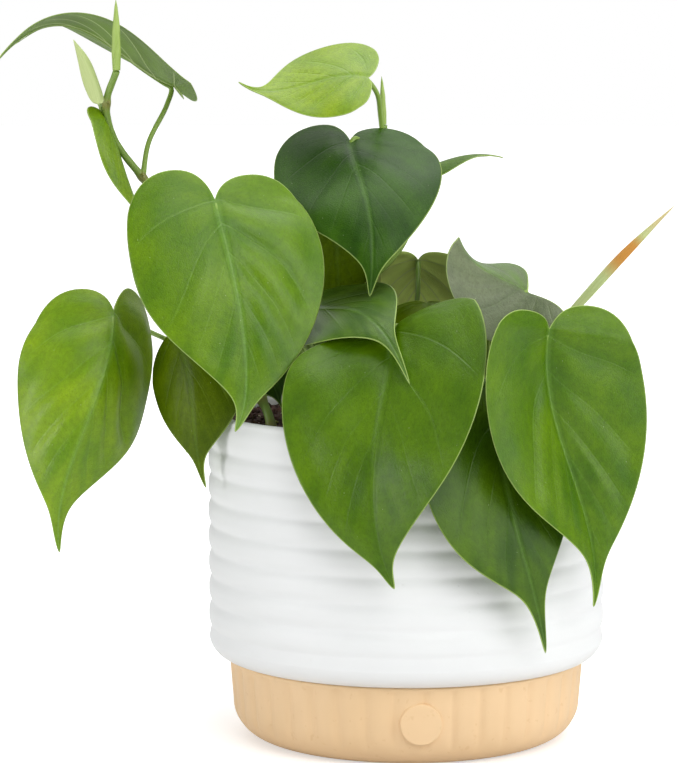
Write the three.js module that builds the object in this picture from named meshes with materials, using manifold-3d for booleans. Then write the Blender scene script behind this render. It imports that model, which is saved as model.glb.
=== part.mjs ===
// Heartleaf philodendron in a ribbed white pot that stands in a fluted tan base.
// Millimetres, +Z up, origin at the centre of the base's foot, the front of the plant towards -Y.
import * as THREE from "three";
import { mergeVertices } from "three/addons/utils/BufferGeometryUtils.js";
import Module from "manifold-3d";

const wasm = await Module();
wasm.setup();

const clearance = 0.3; // between pieces that touch

const pot = {
  radius: 80.3, // over the ribs
  rimHeight: 132.5,
  wall: 4.5,
  lipRound: 1.9,
  firstGroove: 45.2, // height of the lowest groove
  groovePitch: 10.46,
  grooves: 8,
  grooveDepth: 1,
  shoulderRound: 9.5, // the turned-in edge at the bottom of the white wall
  ledgeHeight: 33, // where the white wall ends, just over the base
  ledgeRadius: 71.8,
  footRadius: 65.2, // the narrower part that stands inside the base
  floor: 5,
  drainRadius: 6,
  segments: 40,
};

const base = {
  topRadius: 71.9,
  lowRadius: 70.5, // just over the rounded bottom edge
  height: 32.6,
  edgeRound: 15,
  wall: 6,
  floor: 5.4,
  flutes: 39,
  fluteDepth: 0.45,
  badgeRadius: 8.2, // the plain round badge on the front
  badgeHeight: 18.3,
  badgeTurn: 3.5, // degrees to the right of the front
  badgeProud: 0.5,
};

const soil = { edgeHeight: 128.8, crown: 3, lump: 0.7, segments: 32 };

const blade = { thickness: 0.8, stalkRadius: 1.1, stalkSides: 5, stalkSteps: 2 }; // steps from point to point

// Half of a flat blade, from the notch round the lobe to the tip, as cubic curves. Across, 1 is the
// half width. Along, 1 is the length from notch to tip, the lobe counts in lobe lengths, and the
// drip tip's length times tail comes off. cuts is the number of steps on the curve, and rib how far
// up the midrib its two ends are fanned from.
const heart = [
  { across: [0, 0.06, 0.2, 0.44], lobe: [0, -0.62, -1, -1], along: [0, 0, 0, 0], cuts: 2, rib: [0, 0.03] },
  { across: [0.44, 0.8, 1, 1], lobe: [-1, -1, -0.45, 0], along: [0, 0, 0.06, 0.25], cuts: 3, rib: [0.03, 0.16] },
  { across: [1, 1, 0.56, 0.17], along: [0.25, 0.52, 0.84, 1], tail: [0, 0, 1, 1], cuts: 4, rib: [0.16, 0.8] },
  { across: [0.17, 0.09, 0.03, 0], along: [1, 1, 1, 1], tail: [1, 0.71, 0.36, 0], cuts: 2, rib: [0.8, 1] },
];
const lance = [
  { across: [0, 0.7, 1, 1], along: [0, 0, 0.08, 0.3], cuts: 3, rib: [0, 0.2] },
  { across: [1, 1, 0.35, 0], along: [0.3, 0.55, 0.85, 1], cuts: 4, rib: [0.2, 1] },
];

// The vines, each from deep in the soil to its growing tip. Stalks leave them at these points.
const vines = {
  tall_left: {
    radius: 1.6,
    points: [
      [-24, 8, 98], [-25, 8, 130], [-40, 12, 158], [-66, 16, 184], [-92, 14, 209], [-107, 12, 226],
      [-118, 5, 242], [-120.5, -1, 256], [-116, -6, 269],
    ],
  },
  low_left: { radius: 1.8, points: [[-54, -36, 100], [-54, -36, 130], [-58, -31, 140], [-66, -25, 148]] },
  tall_centre: {
    radius: 1.6,
    points: [
      [2, 14, 98], [2, 14, 130], [-4, 14, 160], [-12.5, 13, 186], [-10, 19, 225], [-9, 20, 238], [-9, 19, 247],
    ],
  },
  front: { radius: 1.8, points: [[-12, -40, 100], [-12, -40, 130], [-10, -36, 142], [-5, -33, 154]] },
  right: {
    radius: 1.8,
    points: [[30, -16, 100], [31, -16, 130], [37, -15, 146], [48, -12, 158], [57, -8, 165], [62, -6, 169]],
  },
  back: { radius: 1.8, points: [[10, 42, 100], [11, 42, 130], [14, 44, 148], [20, 46, 164]] },
  back_left: { radius: 1.8, points: [[-34, 36, 100], [-35, 37, 130], [-41, 42, 147], [-50, 46, 160]] },
};

// The leaves. base is the notch and face the way the upper side looks. width is the flat width,
// lobe the length of the lobes past the notch, leftLobe that of a smaller left one, and tail that of
// the drip tip, as shares of the length. bow is how far the midrib stands off the straight line from
// base to tip, towards the face, at a third and at two thirds of it, and sway the same towards the
// right half. The right half is the one to the right when the upper side is seen with the tip down.
// fold is how far each half, right and left, drops back at the midrib, curl how much further it turns
// by the margin, twist how far the face turns from base to tip and lobeDrop how far the lobes bend
// back, all in degrees. The stalk leaves the vine at its point number knuckle and runs over the
// points in stalk to the notch.
const usual = {
  lobe: 0.13, tail: 0.14, bow: [4, 4], sway: [0, 0], fold: [5, 5], curl: [22, 22], twist: 0, lobeDrop: 20,
};
const leaves = {
  front_left: {
    base: [-75.4, -42, 219.7], tip: [-64.7, -68.1, 131.4], face: [0.29, -0.91, 0.3], width: 76.4,
    lobe: 0.106, leftLobe: 0.145, bow: [6.9, 4], sway: [0.2, 5.8], fold: [-2, -1], curl: [13, 28],
    twist: 8, lobeDrop: -11, vine: "tall_left", knuckle: 3, stalk: [[-70, 3, 198], [-76, -25, 217]],
  },
  far_left: {
    base: [-116.6, -18.7, 173.9], tip: [-138.2, -30.7, 78.8], face: [0.39, -0.92, 0.11], width: 74.1,
    lobe: 0.168, leftLobe: 0.117, tail: 0.18, bow: [14.4, 7.4], sway: [1.2, -10.7], fold: [35, 20],
    curl: [18, 31], twist: 18, lobeDrop: -8, vine: "low_left", knuckle: 3,
    stalk: [[-82, -6, 155], [-97.7, 8, 160.5], [-106, 15, 163.5], [-113, 5, 168.5], [-117, -10, 173]],
  },
  low_left: {
    base: [-92.7, -24, 165.3], tip: [-79.6, -37, 105.6], face: [-0.38, -0.91, 0.14], width: 45.1,
    lobe: 0.115, leftLobe: 0.093, tail: 0.2, bow: [6.3, 4.1], sway: [7.6, -0.7], fold: [6, 12],
    curl: [25, 21], twist: 2, lobeDrop: 27, vine: "low_left", knuckle: 2,
    stalk: [[-72, -26, 154], [-88, -18, 162]],
  },
  small_low: {
    base: [-61, -12, 159], tip: [-50, -26, 136], face: [0.1, -0.9, 0.4], width: 24, vine: "low_left",
    knuckle: 1, stalk: [[-58, -26, 146], [-62, -6, 155]],
  },
  top_left: {
    base: [-94.4, 31, 262.9], tip: [-164.8, 6.6, 273.2], face: [-0.01, 0.02, 1], width: 59.2,
    lobe: 0.119, leftLobe: 0.123, tail: 0.08, bow: [2.5, 25.7], sway: [-1.2, 5.6], fold: [-5, -16],
    curl: [10, 9], twist: 14, lobeDrop: 39, vine: "tall_left", knuckle: 5,
    stalk: [[-105, 20, 240], [-98, 28, 255]],
  },
  edge_left: {
    base: [-121, 2, 251], tip: [-104, 4, 205], face: [1, 0.1, 0.3], width: 20, bow: [0, -2],
    fold: [8, 8], curl: [40, 40], vine: "tall_left", knuckle: 7, stalk: [[-123, 3, 255]],
  },
  top_centre: {
    base: [-22.8, 5.6, 241.5], tip: [-15.4, -45.4, 181.7], face: [0.12, -0.86, 0.51], width: 68,
    lobe: 0.131, leftLobe: 0.174, tail: 0.13, bow: [7.3, 15.8], sway: [-1.6, 3.3], fold: [-4, 10],
    curl: [12, 20], twist: 3, lobeDrop: -5, vine: "tall_centre", knuckle: 4,
    stalk: [[-14, 12, 236], [-21, 6, 242]],
  },
  young_top: {
    base: [-15.7, -0.6, 266.7], tip: [-67.5, -4.2, 263.9], face: [0, -0.66, 0.75], width: 41.2,
    lobe: 0.054, leftLobe: 0.052, tail: 0.21, bow: [1.6, -9.4], sway: [-3.2, -0.3], fold: [-2, 0],
    curl: [18, 4], twist: -2, lobeDrop: 2, vine: "tall_centre", knuckle: 5,
    stalk: [[-10.5, 14, 251], [-12, 7, 260]],
  },
  behind_top: {
    base: [-29, 6, 219], tip: [-27, 15, 167], face: [0, -0.9, 0.4], width: 46, bow: [0, 0],
    vine: "tall_centre", knuckle: 3, stalk: [[-20, 18, 200], [-28, 14, 213]],
  },
  rolled_back: {
    base: [-2, 24, 225], tip: [39.5, 15, 234], face: [0.1, -0.1, 1], width: 24, bow: [2, 5],
    fold: [10, 10], curl: [30, 30], vine: "tall_centre", knuckle: 3,
    stalk: [[-5, 15, 193], [1, 18, 203], [1, 24, 216]],
  },
  drooping: {
    base: [-43, -5, 175.4], tip: [-0.7, -88, 151.8], face: [-0.02, -0.61, 0.79], width: 46.5,
    lobe: 0.129, leftLobe: 0.07, tail: 0.2, bow: [3.3, 20.8], sway: [0.2, 4], fold: [-7, 8],
    curl: [6, 27], twist: 4, lobeDrop: 10, vine: "front", knuckle: 2,
    stalk: [[-24, -24, 156], [-39, -11, 168]],
  },
  front_centre: {
    base: [-6.6, -62, 170.9], tip: [-6.5, -97, 75.7], face: [-0.34, -0.9, 0.28], width: 81.5,
    lobe: 0.084, leftLobe: 0, tail: 0.11, bow: [12.7, 11.3], sway: [3.7, -8.2], fold: [-9, -6],
    curl: [6, 3], twist: 4, lobeDrop: 19, vine: "front", knuckle: 3,
    stalk: [[-4, -38, 164], [-5, -52, 171]],
  },
  low_right: {
    base: [33.7, -66.1, 148.1], tip: [51.9, -74.8, 46.9], face: [0.38, -0.91, 0.15], width: 69.3,
    leftLobe: 0.04, tail: 0.23, bow: [9.7, 8.5], sway: [-11.5, -2.7], fold: [3, -4], curl: [17, 4],
    vine: "right", knuckle: 2, stalk: [[37, -34, 151], [34, -54, 154]],
  },
  front_right: {
    base: [52.9, -70.9, 171.6], tip: [70.5, -70.3, 64.1], face: [0.26, -0.94, 0.19], width: 76.3,
    lobe: 0.105, leftLobe: 0.06, tail: 0.17, bow: [-2.6, -1.1], sway: [-8.2, 8.2], fold: [-5, -36],
    curl: [2, 12], twist: -3, vine: "right", knuckle: 3, stalk: [[50, -34, 166], [53, -60, 169]],
  },
  folded_right: {
    base: [48.9, -5.4, 180.5], tip: [20.7, -5.2, 202.8], face: [0.15, -0.56, 0.81], width: 50.6,
    lobe: 0.55, leftLobe: -0.02, tail: 0.04, bow: [0, -2.1], sway: [1.5, 6.5], fold: [34, 11],
    curl: [17, 19], twist: 29, lobeDrop: -29, vine: "right", knuckle: 4,
    stalk: [[58, 2, 168], [53, 3, 175]],
  },
  turned_away: {
    base: [5.2, 24, 192.2], tip: [5.3, 60, 155.4], face: [0, 0.9, 0.42], width: 47.5, lobe: 0.137,
    bow: [2, 4], fold: [4, 4], curl: [20, 20], lobeDrop: 0, vine: "tall_centre", knuckle: 2,
    stalk: [[4, 15, 173], [5, 17, 187]],
  },
  shaded: {
    base: [8, 0, 176], tip: [12, -24, 146], face: [0.05, -0.75, 0.65], width: 34, lobe: 0.16,
    vine: "tall_centre", knuckle: 1, stalk: [[6, 12, 152], [7, 7, 170]],
  },
  back_top: {
    base: [-22, 36, 224], tip: [-32, 60, 178], face: [-0.15, 0.9, 0.4], width: 50, vine: "tall_centre",
    knuckle: 4, stalk: [[-16, 28, 227]],
  },
  back_centre: {
    base: [10, 66, 170], tip: [0, 100, 84], face: [0.05, 1, 0.3], width: 62, vine: "back", knuckle: 2,
    stalk: [[13, 56, 162], [11, 62, 169]],
  },
  back_right: {
    base: [50, 58, 168], tip: [62, 90, 84], face: [0.45, 0.85, 0.3], width: 54, vine: "back",
    knuckle: 3, stalk: [[36, 50, 173]],
  },
  back_left: {
    base: [-44, 66, 166], tip: [-60, 94, 86], face: [-0.4, 0.9, 0.3], width: 56, vine: "back_left",
    knuckle: 2, stalk: [[-43, 54, 160]],
  },
  side_left: {
    base: [-72, 42, 172], tip: [-92, 54, 108], face: [-0.85, 0.4, 0.35], width: 46, vine: "back_left",
    knuckle: 3, stalk: [[-62, 44, 170]],
  },
  side_right: {
    base: [80, 14, 160], tip: [95, 26, 96], face: [0.95, 0.15, 0.3], width: 42, vine: "right",
    knuckle: 3, stalk: [[60, 2, 158], [74, 10, 163]],
  },
};

// Furled leaves and sheaths at the growing tips.
const furls = {
  spear_left: { foot: [-115.6, -6.4, 270], tip: [-115.8, -9, 297.5], radius: 2 },
  spear_centre: { foot: [-9, 18.9, 247.6], tip: [-10, 17, 267], radius: 1.4 },
};
const sheaths = {
  sheath_left: {
    base: [-122.6, -6, 256], tip: [-133, -8, 281.5], face: [0.5, -0.85, 0.2], width: 8.5,
    bow: [0, 0], sway: [-1.2, -1.2], fold: [20, 20], curl: [30, 30],
  },
  sheath_right: {
    base: [62.6, -5.8, 169.8], tip: [107.5, -5, 215.5], face: [-0.6, -0.6, 0.5], width: 4.2,
    bow: [-1, 1], fold: [20, 20], curl: [30, 30],
  },
};

const vectors = (points) => points.map((p) => new THREE.Vector3(...p));
const radians = THREE.MathUtils.degToRad;

// Solids

function solidFrom(geometry) {
  const bare = geometry.clone();
  bare.deleteAttribute("normal");
  bare.deleteAttribute("uv");
  const merged = mergeVertices(bare, 1e-4);
  const triVerts = new Uint32Array(merged.index.array);
  return new wasm.Manifold(new wasm.Mesh({ numProp: 3, vertProperties: merged.attributes.position.array, triVerts }));
}

function geometryFrom(solid) {
  const mesh = solid.getMesh();
  const geometry = new THREE.BufferGeometry();
  geometry.setAttribute("position", new THREE.BufferAttribute(mesh.vertProperties, 3));
  geometry.setIndex(new THREE.BufferAttribute(mesh.triVerts, 1));
  geometry.computeVertexNormals();
  return geometry;
}

// The largest of the separate bodies that a cut leaves.
function largestBody(solid) {
  return solid.decompose().sort((a, b) => b.volume() - a.volume())[0];
}

// A round bar along a smooth curve through the points.
function bar(points, radius, sides, steps) {
  const corners = Array.from({ length: sides }, (_, i) => {
    const turn = (2 * Math.PI * i) / sides;
    return new THREE.Vector2(radius * Math.cos(turn), radius * Math.sin(turn));
  });
  const extrudePath = new THREE.CatmullRomCurve3(vectors(points), false, "centripetal");
  return new THREE.ExtrudeGeometry(new THREE.Shape(corners), { steps, bevelEnabled: false, extrudePath });
}

// A solid of revolution about Z. The profile of [radius, height] points runs anticlockwise and
// closes on itself or on the axis.
function turned(profile, segments) {
  const ring = profile.map(([r, z]) => new THREE.Vector2(r, z));
  if (profile[0][0] > 0) ring.push(ring[0].clone());
  return new THREE.LatheGeometry(ring, segments).rotateX(Math.PI / 2);
}

// Points on a circular arc about [cx, cz], from and to in degrees.
const arc = (cx, cz, r, from, to, steps) =>
  Array.from({ length: steps + 1 }, (_, i) => {
    const a = radians(from + ((to - from) * i) / steps);
    return [cx + r * Math.cos(a), cz + r * Math.sin(a)];
  });

// Blades

function cubic([a, b, c, d], t) {
  const u = 1 - t;
  return u * u * u * a + 3 * u * u * t * b + 3 * u * t * t * c + t * t * t * d;
}

// Rows from the notch to the tip, each with its place on the right and left margin and on the midrib.
function marginRows(spec, outline) {
  const none = [0, 0, 0, 0];
  return outline.flatMap(({ across, along, lobe = none, tail = none, cuts, rib }, k) => {
    const first = k === 0 ? 0 : 1;
    return Array.from({ length: cuts + 1 - first }, (_, i) => {
      const t = (i + first) / cuts;
      return {
        x: (cubic(across, t) * spec.width) / 2,
        ends: [spec.lobe, spec.leftLobe ?? spec.lobe].map(
          (size) => cubic(along, t) + cubic(lobe, t) * size - cubic(tail, t) * spec.tail,
        ),
        rib: rib[0] + (rib[1] - rib[0]) * t,
      };
    });
  });
}

// The bent sheet of a blade. It takes a place on the flat blade, x across in mm and y along in
// lengths, and gives the point and the way the upper side faces there. The midrib is a cubic curve
// and each half is an arc that starts at the fold angle and turns by the curl.
function bentSheet(spec) {
  const foot = new THREE.Vector3(...spec.base);
  const tip = new THREE.Vector3(...spec.tip);
  const chord = tip.clone().sub(foot);
  const length = chord.length();
  const ahead = chord.clone().normalize();
  const up = new THREE.Vector3(...spec.face);
  up.addScaledVector(ahead, -ahead.dot(up)).normalize();
  const right = new THREE.Vector3().crossVectors(up, ahead);
  const knee = (share, bow, sway) =>
    foot.clone().addScaledVector(chord, share).addScaledVector(up, 1.5 * bow).addScaledVector(right, 1.5 * sway);
  const midrib = new THREE.CubicBezierCurve3(
    foot, knee(1 / 3, spec.bow[0], spec.sway[0]), knee(2 / 3, spec.bow[1], spec.sway[1]), tip,
  );
  const drop = radians(spec.lobeDrop);
  const point = (x, y) => {
    const at = Math.min(Math.max(y, 0), 1);
    const forward = midrib.getTangent(at);
    const normal = up.clone().addScaledVector(forward, -forward.dot(up)).normalize();
    normal.applyAxisAngle(forward, radians(spec.twist) * at);
    const side = new THREE.Vector3().crossVectors(normal, forward);
    const half = x > 0 ? 0 : 1;
    const start = radians(spec.fold[half]);
    const turn = radians(spec.curl[half] || 0.001) / (spec.width / 2);
    const end = start + turn * Math.abs(x);
    const place = midrib.getPoint(at);
    place.addScaledVector(side, (Math.sign(x) * (Math.sin(end) - Math.sin(start))) / turn);
    place.addScaledVector(normal, (Math.cos(end) - Math.cos(start)) / turn);
    const past = Math.min(y, 0) * length;
    return place.addScaledVector(forward, past * Math.cos(drop)).addScaledVector(normal, past * Math.sin(drop));
  };
  const normal = (x, y) => {
    const [dx, dy] = [0.05, 0.001];
    const across = point(x + dx, y).sub(point(x - dx, y));
    const along = point(x, y + dy).sub(point(x, y - dy));
    return along.cross(across).normalize();
  };
  return { point, normal };
}

// A closed thin blade. Its upper and lower skins are split alike, and a rim joins them.
function bladeSolid(spec, outline) {
  const rows = marginRows(spec, outline);
  const sheet = bentSheet(spec);
  const shares = [-1, -0.55, 0, 0.55, 1];
  const last = shares.length - 1;
  const positions = [];
  const vertex = (x, y, side) => {
    const p = sheet.point(x, y).addScaledVector(sheet.normal(x, y), (side * blade.thickness) / 2);
    positions.push(p.x, p.y, p.z);
    return positions.length / 3 - 1;
  };
  const skins = [1, -1].map((side) =>
    rows.map((row, r) => {
      if (r === 0 || r === rows.length - 1) return shares.map(() => 0).fill(vertex(0, row.rib, side));
      return shares.map((share) => {
        const end = row.ends[share > 0 ? 0 : 1];
        return vertex(share * row.x, row.rib + Math.abs(share) * (end - row.rib), side);
      });
    }),
  );
  const index = [];
  const triangle = (a, b, c) => {
    if (a !== b && b !== c && c !== a) index.push(a, b, c);
  };
  for (let r = 0; r + 1 < rows.length; r++) {
    for (let c = 0; c < last; c++) {
      skins.forEach((skin, lower) => {
        let [a, b, d, e] = [skin[r][c], skin[r][c + 1], skin[r + 1][c + 1], skin[r + 1][c]];
        if (c >= last / 2) [a, b, d, e] = [b, d, e, a]; // the halves mirror each other
        if (lower) {
          triangle(a, b, d);
          triangle(a, d, e);
        } else {
          triangle(a, d, b);
          triangle(a, e, d);
        }
      });
    }
    for (const c of [0, last]) {
      const rim = [skins[0][r][c], skins[0][r + 1][c], skins[1][r + 1][c], skins[1][r][c]];
      if (c === 0) rim.reverse();
      triangle(rim[0], rim[1], rim[2]);
      triangle(rim[0], rim[2], rim[3]);
    }
  }
  const geometry = new THREE.BufferGeometry();
  geometry.setAttribute("position", new THREE.BufferAttribute(new Float32Array(positions), 3));
  geometry.setIndex(index);
  return solidFrom(geometry);
}

// Pieces

const part = new THREE.Group();
const finishes = {
  glaze: new THREE.MeshStandardMaterial({ color: 0xf0f0ee, roughness: 0.55 }),
  tan: new THREE.MeshStandardMaterial({ color: 0xe8c496, roughness: 0.6 }),
  earth: new THREE.MeshStandardMaterial({ color: 0x3a2a26, roughness: 0.95 }),
  vine: new THREE.MeshStandardMaterial({ color: 0x6d8c36, roughness: 0.5 }),
  leaf: new THREE.MeshStandardMaterial({ color: 0x4f8227, roughness: 0.4 }),
  youngLeaf: new THREE.MeshStandardMaterial({ color: 0x9cc63a, roughness: 0.35 }),
  sheath: new THREE.MeshStandardMaterial({ color: 0xcfd9a4, roughness: 0.6 }),
};

function add(name, geometry, finish) {
  const mesh = new THREE.Mesh(geometry, finishes[finish].clone());
  mesh.name = name;
  part.add(mesh);
}

// The pot: ribs outside, a turned-in bottom edge, and a narrower foot that stands in the base.
const potInner = pot.radius - pot.grooveDepth - pot.wall;
const footInner = pot.footRadius - pot.wall;
const footHeight = base.floor + clearance;
const innerLedge = pot.ledgeHeight + pot.shoulderRound;

function potProfile() {
  const { radius, grooveDepth: depth, shoulderRound: turn, ledgeHeight: ledge } = pot;
  const top = pot.rimHeight - pot.lipRound;
  const shoulder = arc(radius - turn, ledge + 0.98 * turn, turn, -78, -10, 3);
  const ribs = Array.from({ length: pot.grooves }, (_, i) => {
    const low = pot.firstGroove + i * pot.groovePitch;
    const high = i + 1 < pot.grooves ? low + pot.groovePitch : top;
    const at = (share) => low + share * (high - low);
    return [[radius - depth, low], [radius - 0.1 * depth, at(0.27)], [radius - 0.1 * depth, at(0.73)]];
  }).flat();
  const lip = arc(radius - depth - pot.lipRound, top, pot.lipRound, 0, 180, 4);
  return [
    [pot.footRadius, footHeight], [pot.footRadius, ledge], [pot.ledgeRadius, ledge], ...shoulder, ...ribs, ...lip,
    [potInner, innerLedge], [footInner, ledge], [footInner, footHeight + pot.floor],
    [pot.drainRadius, footHeight + pot.floor], [pot.drainRadius, footHeight],
  ];
}
add("pot", geometryFrom(solidFrom(turned(potProfile(), pot.segments))), "glaze");

// The base: a cup with a rounded bottom edge, its outside pulled in at every other column of points.
function basePiece() {
  const { topRadius, lowRadius, height, edgeRound: round, wall } = base;
  const edge = arc(lowRadius - round, round, round, -90, 0, 4);
  const lip = [[topRadius, height - 0.8], [topRadius - 0.8, height]];
  const inside = [[topRadius - wall, height], [topRadius - wall, base.floor], [0, base.floor]];
  const geometry = turned([[0, 0], ...edge, ...lip, ...inside], 2 * base.flutes);
  const place = geometry.attributes.position;
  for (let i = 0; i < place.count; i++) {
    const radius = Math.hypot(place.getX(i), place.getY(i));
    if (radius < lowRadius - 0.3 * round) continue;
    const column = Math.round((Math.atan2(place.getX(i), -place.getY(i)) / Math.PI) * base.flutes);
    if (column % 2 === 0) continue;
    const share = 1 - base.fluteDepth / radius;
    place.setX(i, place.getX(i) * share);
    place.setY(i, place.getY(i) * share);
  }
  const turn = radians(base.badgeTurn);
  const reach = lowRadius + 0.5 * (topRadius - lowRadius) + base.badgeProud;
  const badge = new THREE.CylinderGeometry(base.badgeRadius - 0.4, base.badgeRadius, 3, 20);
  badge.rotateX(Math.PI).translate(0, -reach + 1.5, base.badgeHeight).rotateZ(turn);
  return solidFrom(geometry).add(solidFrom(badge));
}
add("base", geometryFrom(basePiece()), "tan");

// The vines, and fatter copies of them that cut their holes and seats.
const vineSeats = {};
for (const [name, { points, radius }] of Object.entries(vines)) {
  const steps = 3 * (points.length - 1);
  const longer = points.map((p) => [...p]);
  longer[0][2] -= clearance;
  longer.at(-1)[2] += clearance;
  vineSeats[name] = solidFrom(bar(longer, radius + clearance, 8, steps));
  add(`vine_${name}`, geometryFrom(solidFrom(bar(points, radius, 8, steps))), "vine");
}

// The soil fills the pot and rises a little towards the middle in low lumps.
function soilPiece() {
  const [wide, narrow] = [potInner - clearance, footInner - clearance];
  const top = (share) => [wide * share, soil.edgeHeight + soil.crown * (1 - share * share)];
  const profile = [
    [0, footHeight + pot.floor + clearance], [narrow, footHeight + pot.floor + clearance],
    [narrow, pot.ledgeHeight + clearance], [wide, innerLedge + clearance],
    ...[1, 0.8, 0.5, 0].map(top),
  ];
  const geometry = turned(profile, soil.segments);
  const place = geometry.attributes.position;
  for (let i = 0; i < place.count; i++) {
    const [x, y, z] = [place.getX(i), place.getY(i), place.getZ(i)];
    const inward = Math.min((wide - Math.hypot(x, y)) / 10, 1);
    if (z < soil.edgeHeight) continue;
    place.setZ(i, z + soil.lump * inward * Math.sin(0.31 * x + 1) * Math.cos(0.27 * y + 2));
  }
  return Object.values(vineSeats).reduce((rest, seat) => rest.subtract(seat), solidFrom(geometry));
}
add("soil", geometryFrom(soilPiece()), "earth");

// A leaf is its blade and its stalk in one. The stalk's foot is hollowed to fit round the vine.
for (const [name, given] of Object.entries(leaves)) {
  const spec = { ...usual, ...given };
  const joint = vines[spec.vine].points[spec.knuckle];
  const notch = bentSheet(spec).point(0, 0.02).toArray();
  const route = [joint, ...spec.stalk, notch];
  const stalk = solidFrom(bar(route, blade.stalkRadius, blade.stalkSides, blade.stalkSteps * (route.length - 1)));
  const whole = bladeSolid(spec, heart).add(stalk).subtract(vineSeats[spec.vine]);
  add(`leaf_${name}`, geometryFrom(largestBody(whole)), name === "young_top" ? "youngLeaf" : "leaf");
}

for (const [name, { foot, tip, radius }] of Object.entries(furls)) {
  const along = new THREE.Vector3(...tip).sub(new THREE.Vector3(...foot));
  const profile = [[0, 0], [0.8, 0], [1, 0.25], [0.85, 0.55], [0.35, 0.88], [0, 1]];
  const spear = turned(profile.map(([r, z]) => [r * radius, z * along.length()]), 8);
  const upright = new THREE.Vector3(0, 0, 1);
  spear.applyQuaternion(new THREE.Quaternion().setFromUnitVectors(upright, along.clone().normalize()));
  add(name, geometryFrom(solidFrom(spear.translate(...foot))), "vine");
}

for (const [name, given] of Object.entries(sheaths)) {
  const spec = { ...usual, lobe: 0, ...given };
  add(name, geometryFrom(bladeSolid(spec, lance)), "sheath");
}

export default part;
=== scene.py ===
import math

import bmesh
import bpy
import numpy as np
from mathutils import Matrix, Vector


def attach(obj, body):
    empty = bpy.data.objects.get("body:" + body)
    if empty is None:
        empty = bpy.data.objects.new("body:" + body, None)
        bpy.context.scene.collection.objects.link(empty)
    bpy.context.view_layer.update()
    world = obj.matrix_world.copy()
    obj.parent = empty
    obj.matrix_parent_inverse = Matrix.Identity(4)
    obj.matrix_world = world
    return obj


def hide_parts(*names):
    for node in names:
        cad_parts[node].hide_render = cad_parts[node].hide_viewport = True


# A heart-leaf philodendron in a ribbed white pot that stands in a fluted tan base.
# The shapes below are worked out in millimetres and go into the meshes in metres.
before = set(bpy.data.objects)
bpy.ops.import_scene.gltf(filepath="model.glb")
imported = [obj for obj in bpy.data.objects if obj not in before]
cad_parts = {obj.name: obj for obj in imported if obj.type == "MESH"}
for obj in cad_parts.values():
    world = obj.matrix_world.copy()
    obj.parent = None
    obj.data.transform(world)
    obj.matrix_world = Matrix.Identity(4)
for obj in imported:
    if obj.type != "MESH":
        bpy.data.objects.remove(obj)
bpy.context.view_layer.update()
mm = 0.001


# Camera, at the photograph's viewing angle

camera = {
    "place": (-27.1, -1200.0, 268.0),  # mm
    "pitchDown": 5.9,  # degrees below the horizon
    "focalPixels": 2980.0,  # focal length in pixels of the 763 pixel high picture
    "pictureHeight": 763.0,
    "sensor": 36.0,
}


def makeCamera():
    data = bpy.data.cameras.new("viewpoint")
    data.sensor_width = camera["sensor"]
    data.lens = camera["focalPixels"] * camera["sensor"] / camera["pictureHeight"]
    eye = bpy.data.objects.new("viewpoint", data)
    eye.location = [v * mm for v in camera["place"]]
    eye.rotation_euler = (math.radians(90 - camera["pitchDown"]), 0, 0)
    bpy.context.scene.collection.objects.link(eye)
    bpy.context.scene.camera = eye


makeCamera()
print("camera set")


# Arrays: shared formulas

def unit(vectors):
    # each vector divided by its own length
    return vectors / np.maximum(np.linalg.norm(vectors, axis=-1, keepdims=True), 1e-12)


def smoothStep(low, high, value):
    # 0 under low, 1 over high, and 3t2 - 2t3 between
    t = np.clip((value - low) / (high - low), 0, 1)
    return t * t * (3 - 2 * t)


def cubicCurve(control, t):
    # the Bezier sum (1-t)3 a + 3(1-t)2 t b + 3(1-t) t2 c + t3 d
    a, b, c, d = control
    return (1 - t) ** 3 * a + 3 * (1 - t) ** 2 * t * b + 3 * (1 - t) * t**2 * c + t**3 * d


def smoothPath(points, spacing):
    # a centripetal Catmull-Rom curve through the points, then walked in even steps of about the spacing:
    # tangents come from the root of each span's length, and every span is a Hermite cubic
    p = np.array(points, float)
    p = np.vstack([2 * p[0] - p[1], p, 2 * p[-1] - p[-2]])
    gap = np.sqrt(np.linalg.norm(np.diff(p, axis=0), axis=1))[:, None]
    before, here, after = gap[:-2], gap[1:-1], gap[2:]
    p0, p1, p2, p3 = p[:-3], p[1:-2], p[2:-1], p[3:]
    leave = here * ((p1 - p0) / before - (p2 - p0) / (before + here) + (p2 - p1) / here)
    arrive = here * ((p2 - p1) / here - (p3 - p1) / (here + after) + (p3 - p2) / after)
    t = np.linspace(0, 1, 24, endpoint=False)[None, :, None]
    curve = (
        (2 * t**3 - 3 * t**2 + 1) * p1[:, None] + (t**3 - 2 * t**2 + t) * leave[:, None]
        + (3 * t**2 - 2 * t**3) * p2[:, None] + (t**3 - t**2) * arrive[:, None]
    ).reshape(-1, 3)
    curve = np.vstack([curve, p[-2]])
    walked = np.concatenate([[0], np.cumsum(np.linalg.norm(np.diff(curve, axis=0), axis=1))])
    stops = np.linspace(0, walked[-1], max(4, int(walked[-1] / spacing)))
    return np.stack([np.interp(stops, walked, curve[:, k]) for k in range(3)], 1), stops


def ripple(x, y, draw, wavelength, waves=5):
    # a sum of sine waves in drawn directions and phases, about -1 to 1
    heading = draw.uniform(0, 2 * np.pi, waves)
    phase = draw.uniform(0, 2 * np.pi, waves)
    pitch = 2 * np.pi / (wavelength * draw.uniform(0.7, 1.4, waves))
    place = x[..., None] * np.cos(heading) + y[..., None] * np.sin(heading)
    return np.sin(place * pitch + phase).sum(-1) / np.sqrt(waves)


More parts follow.
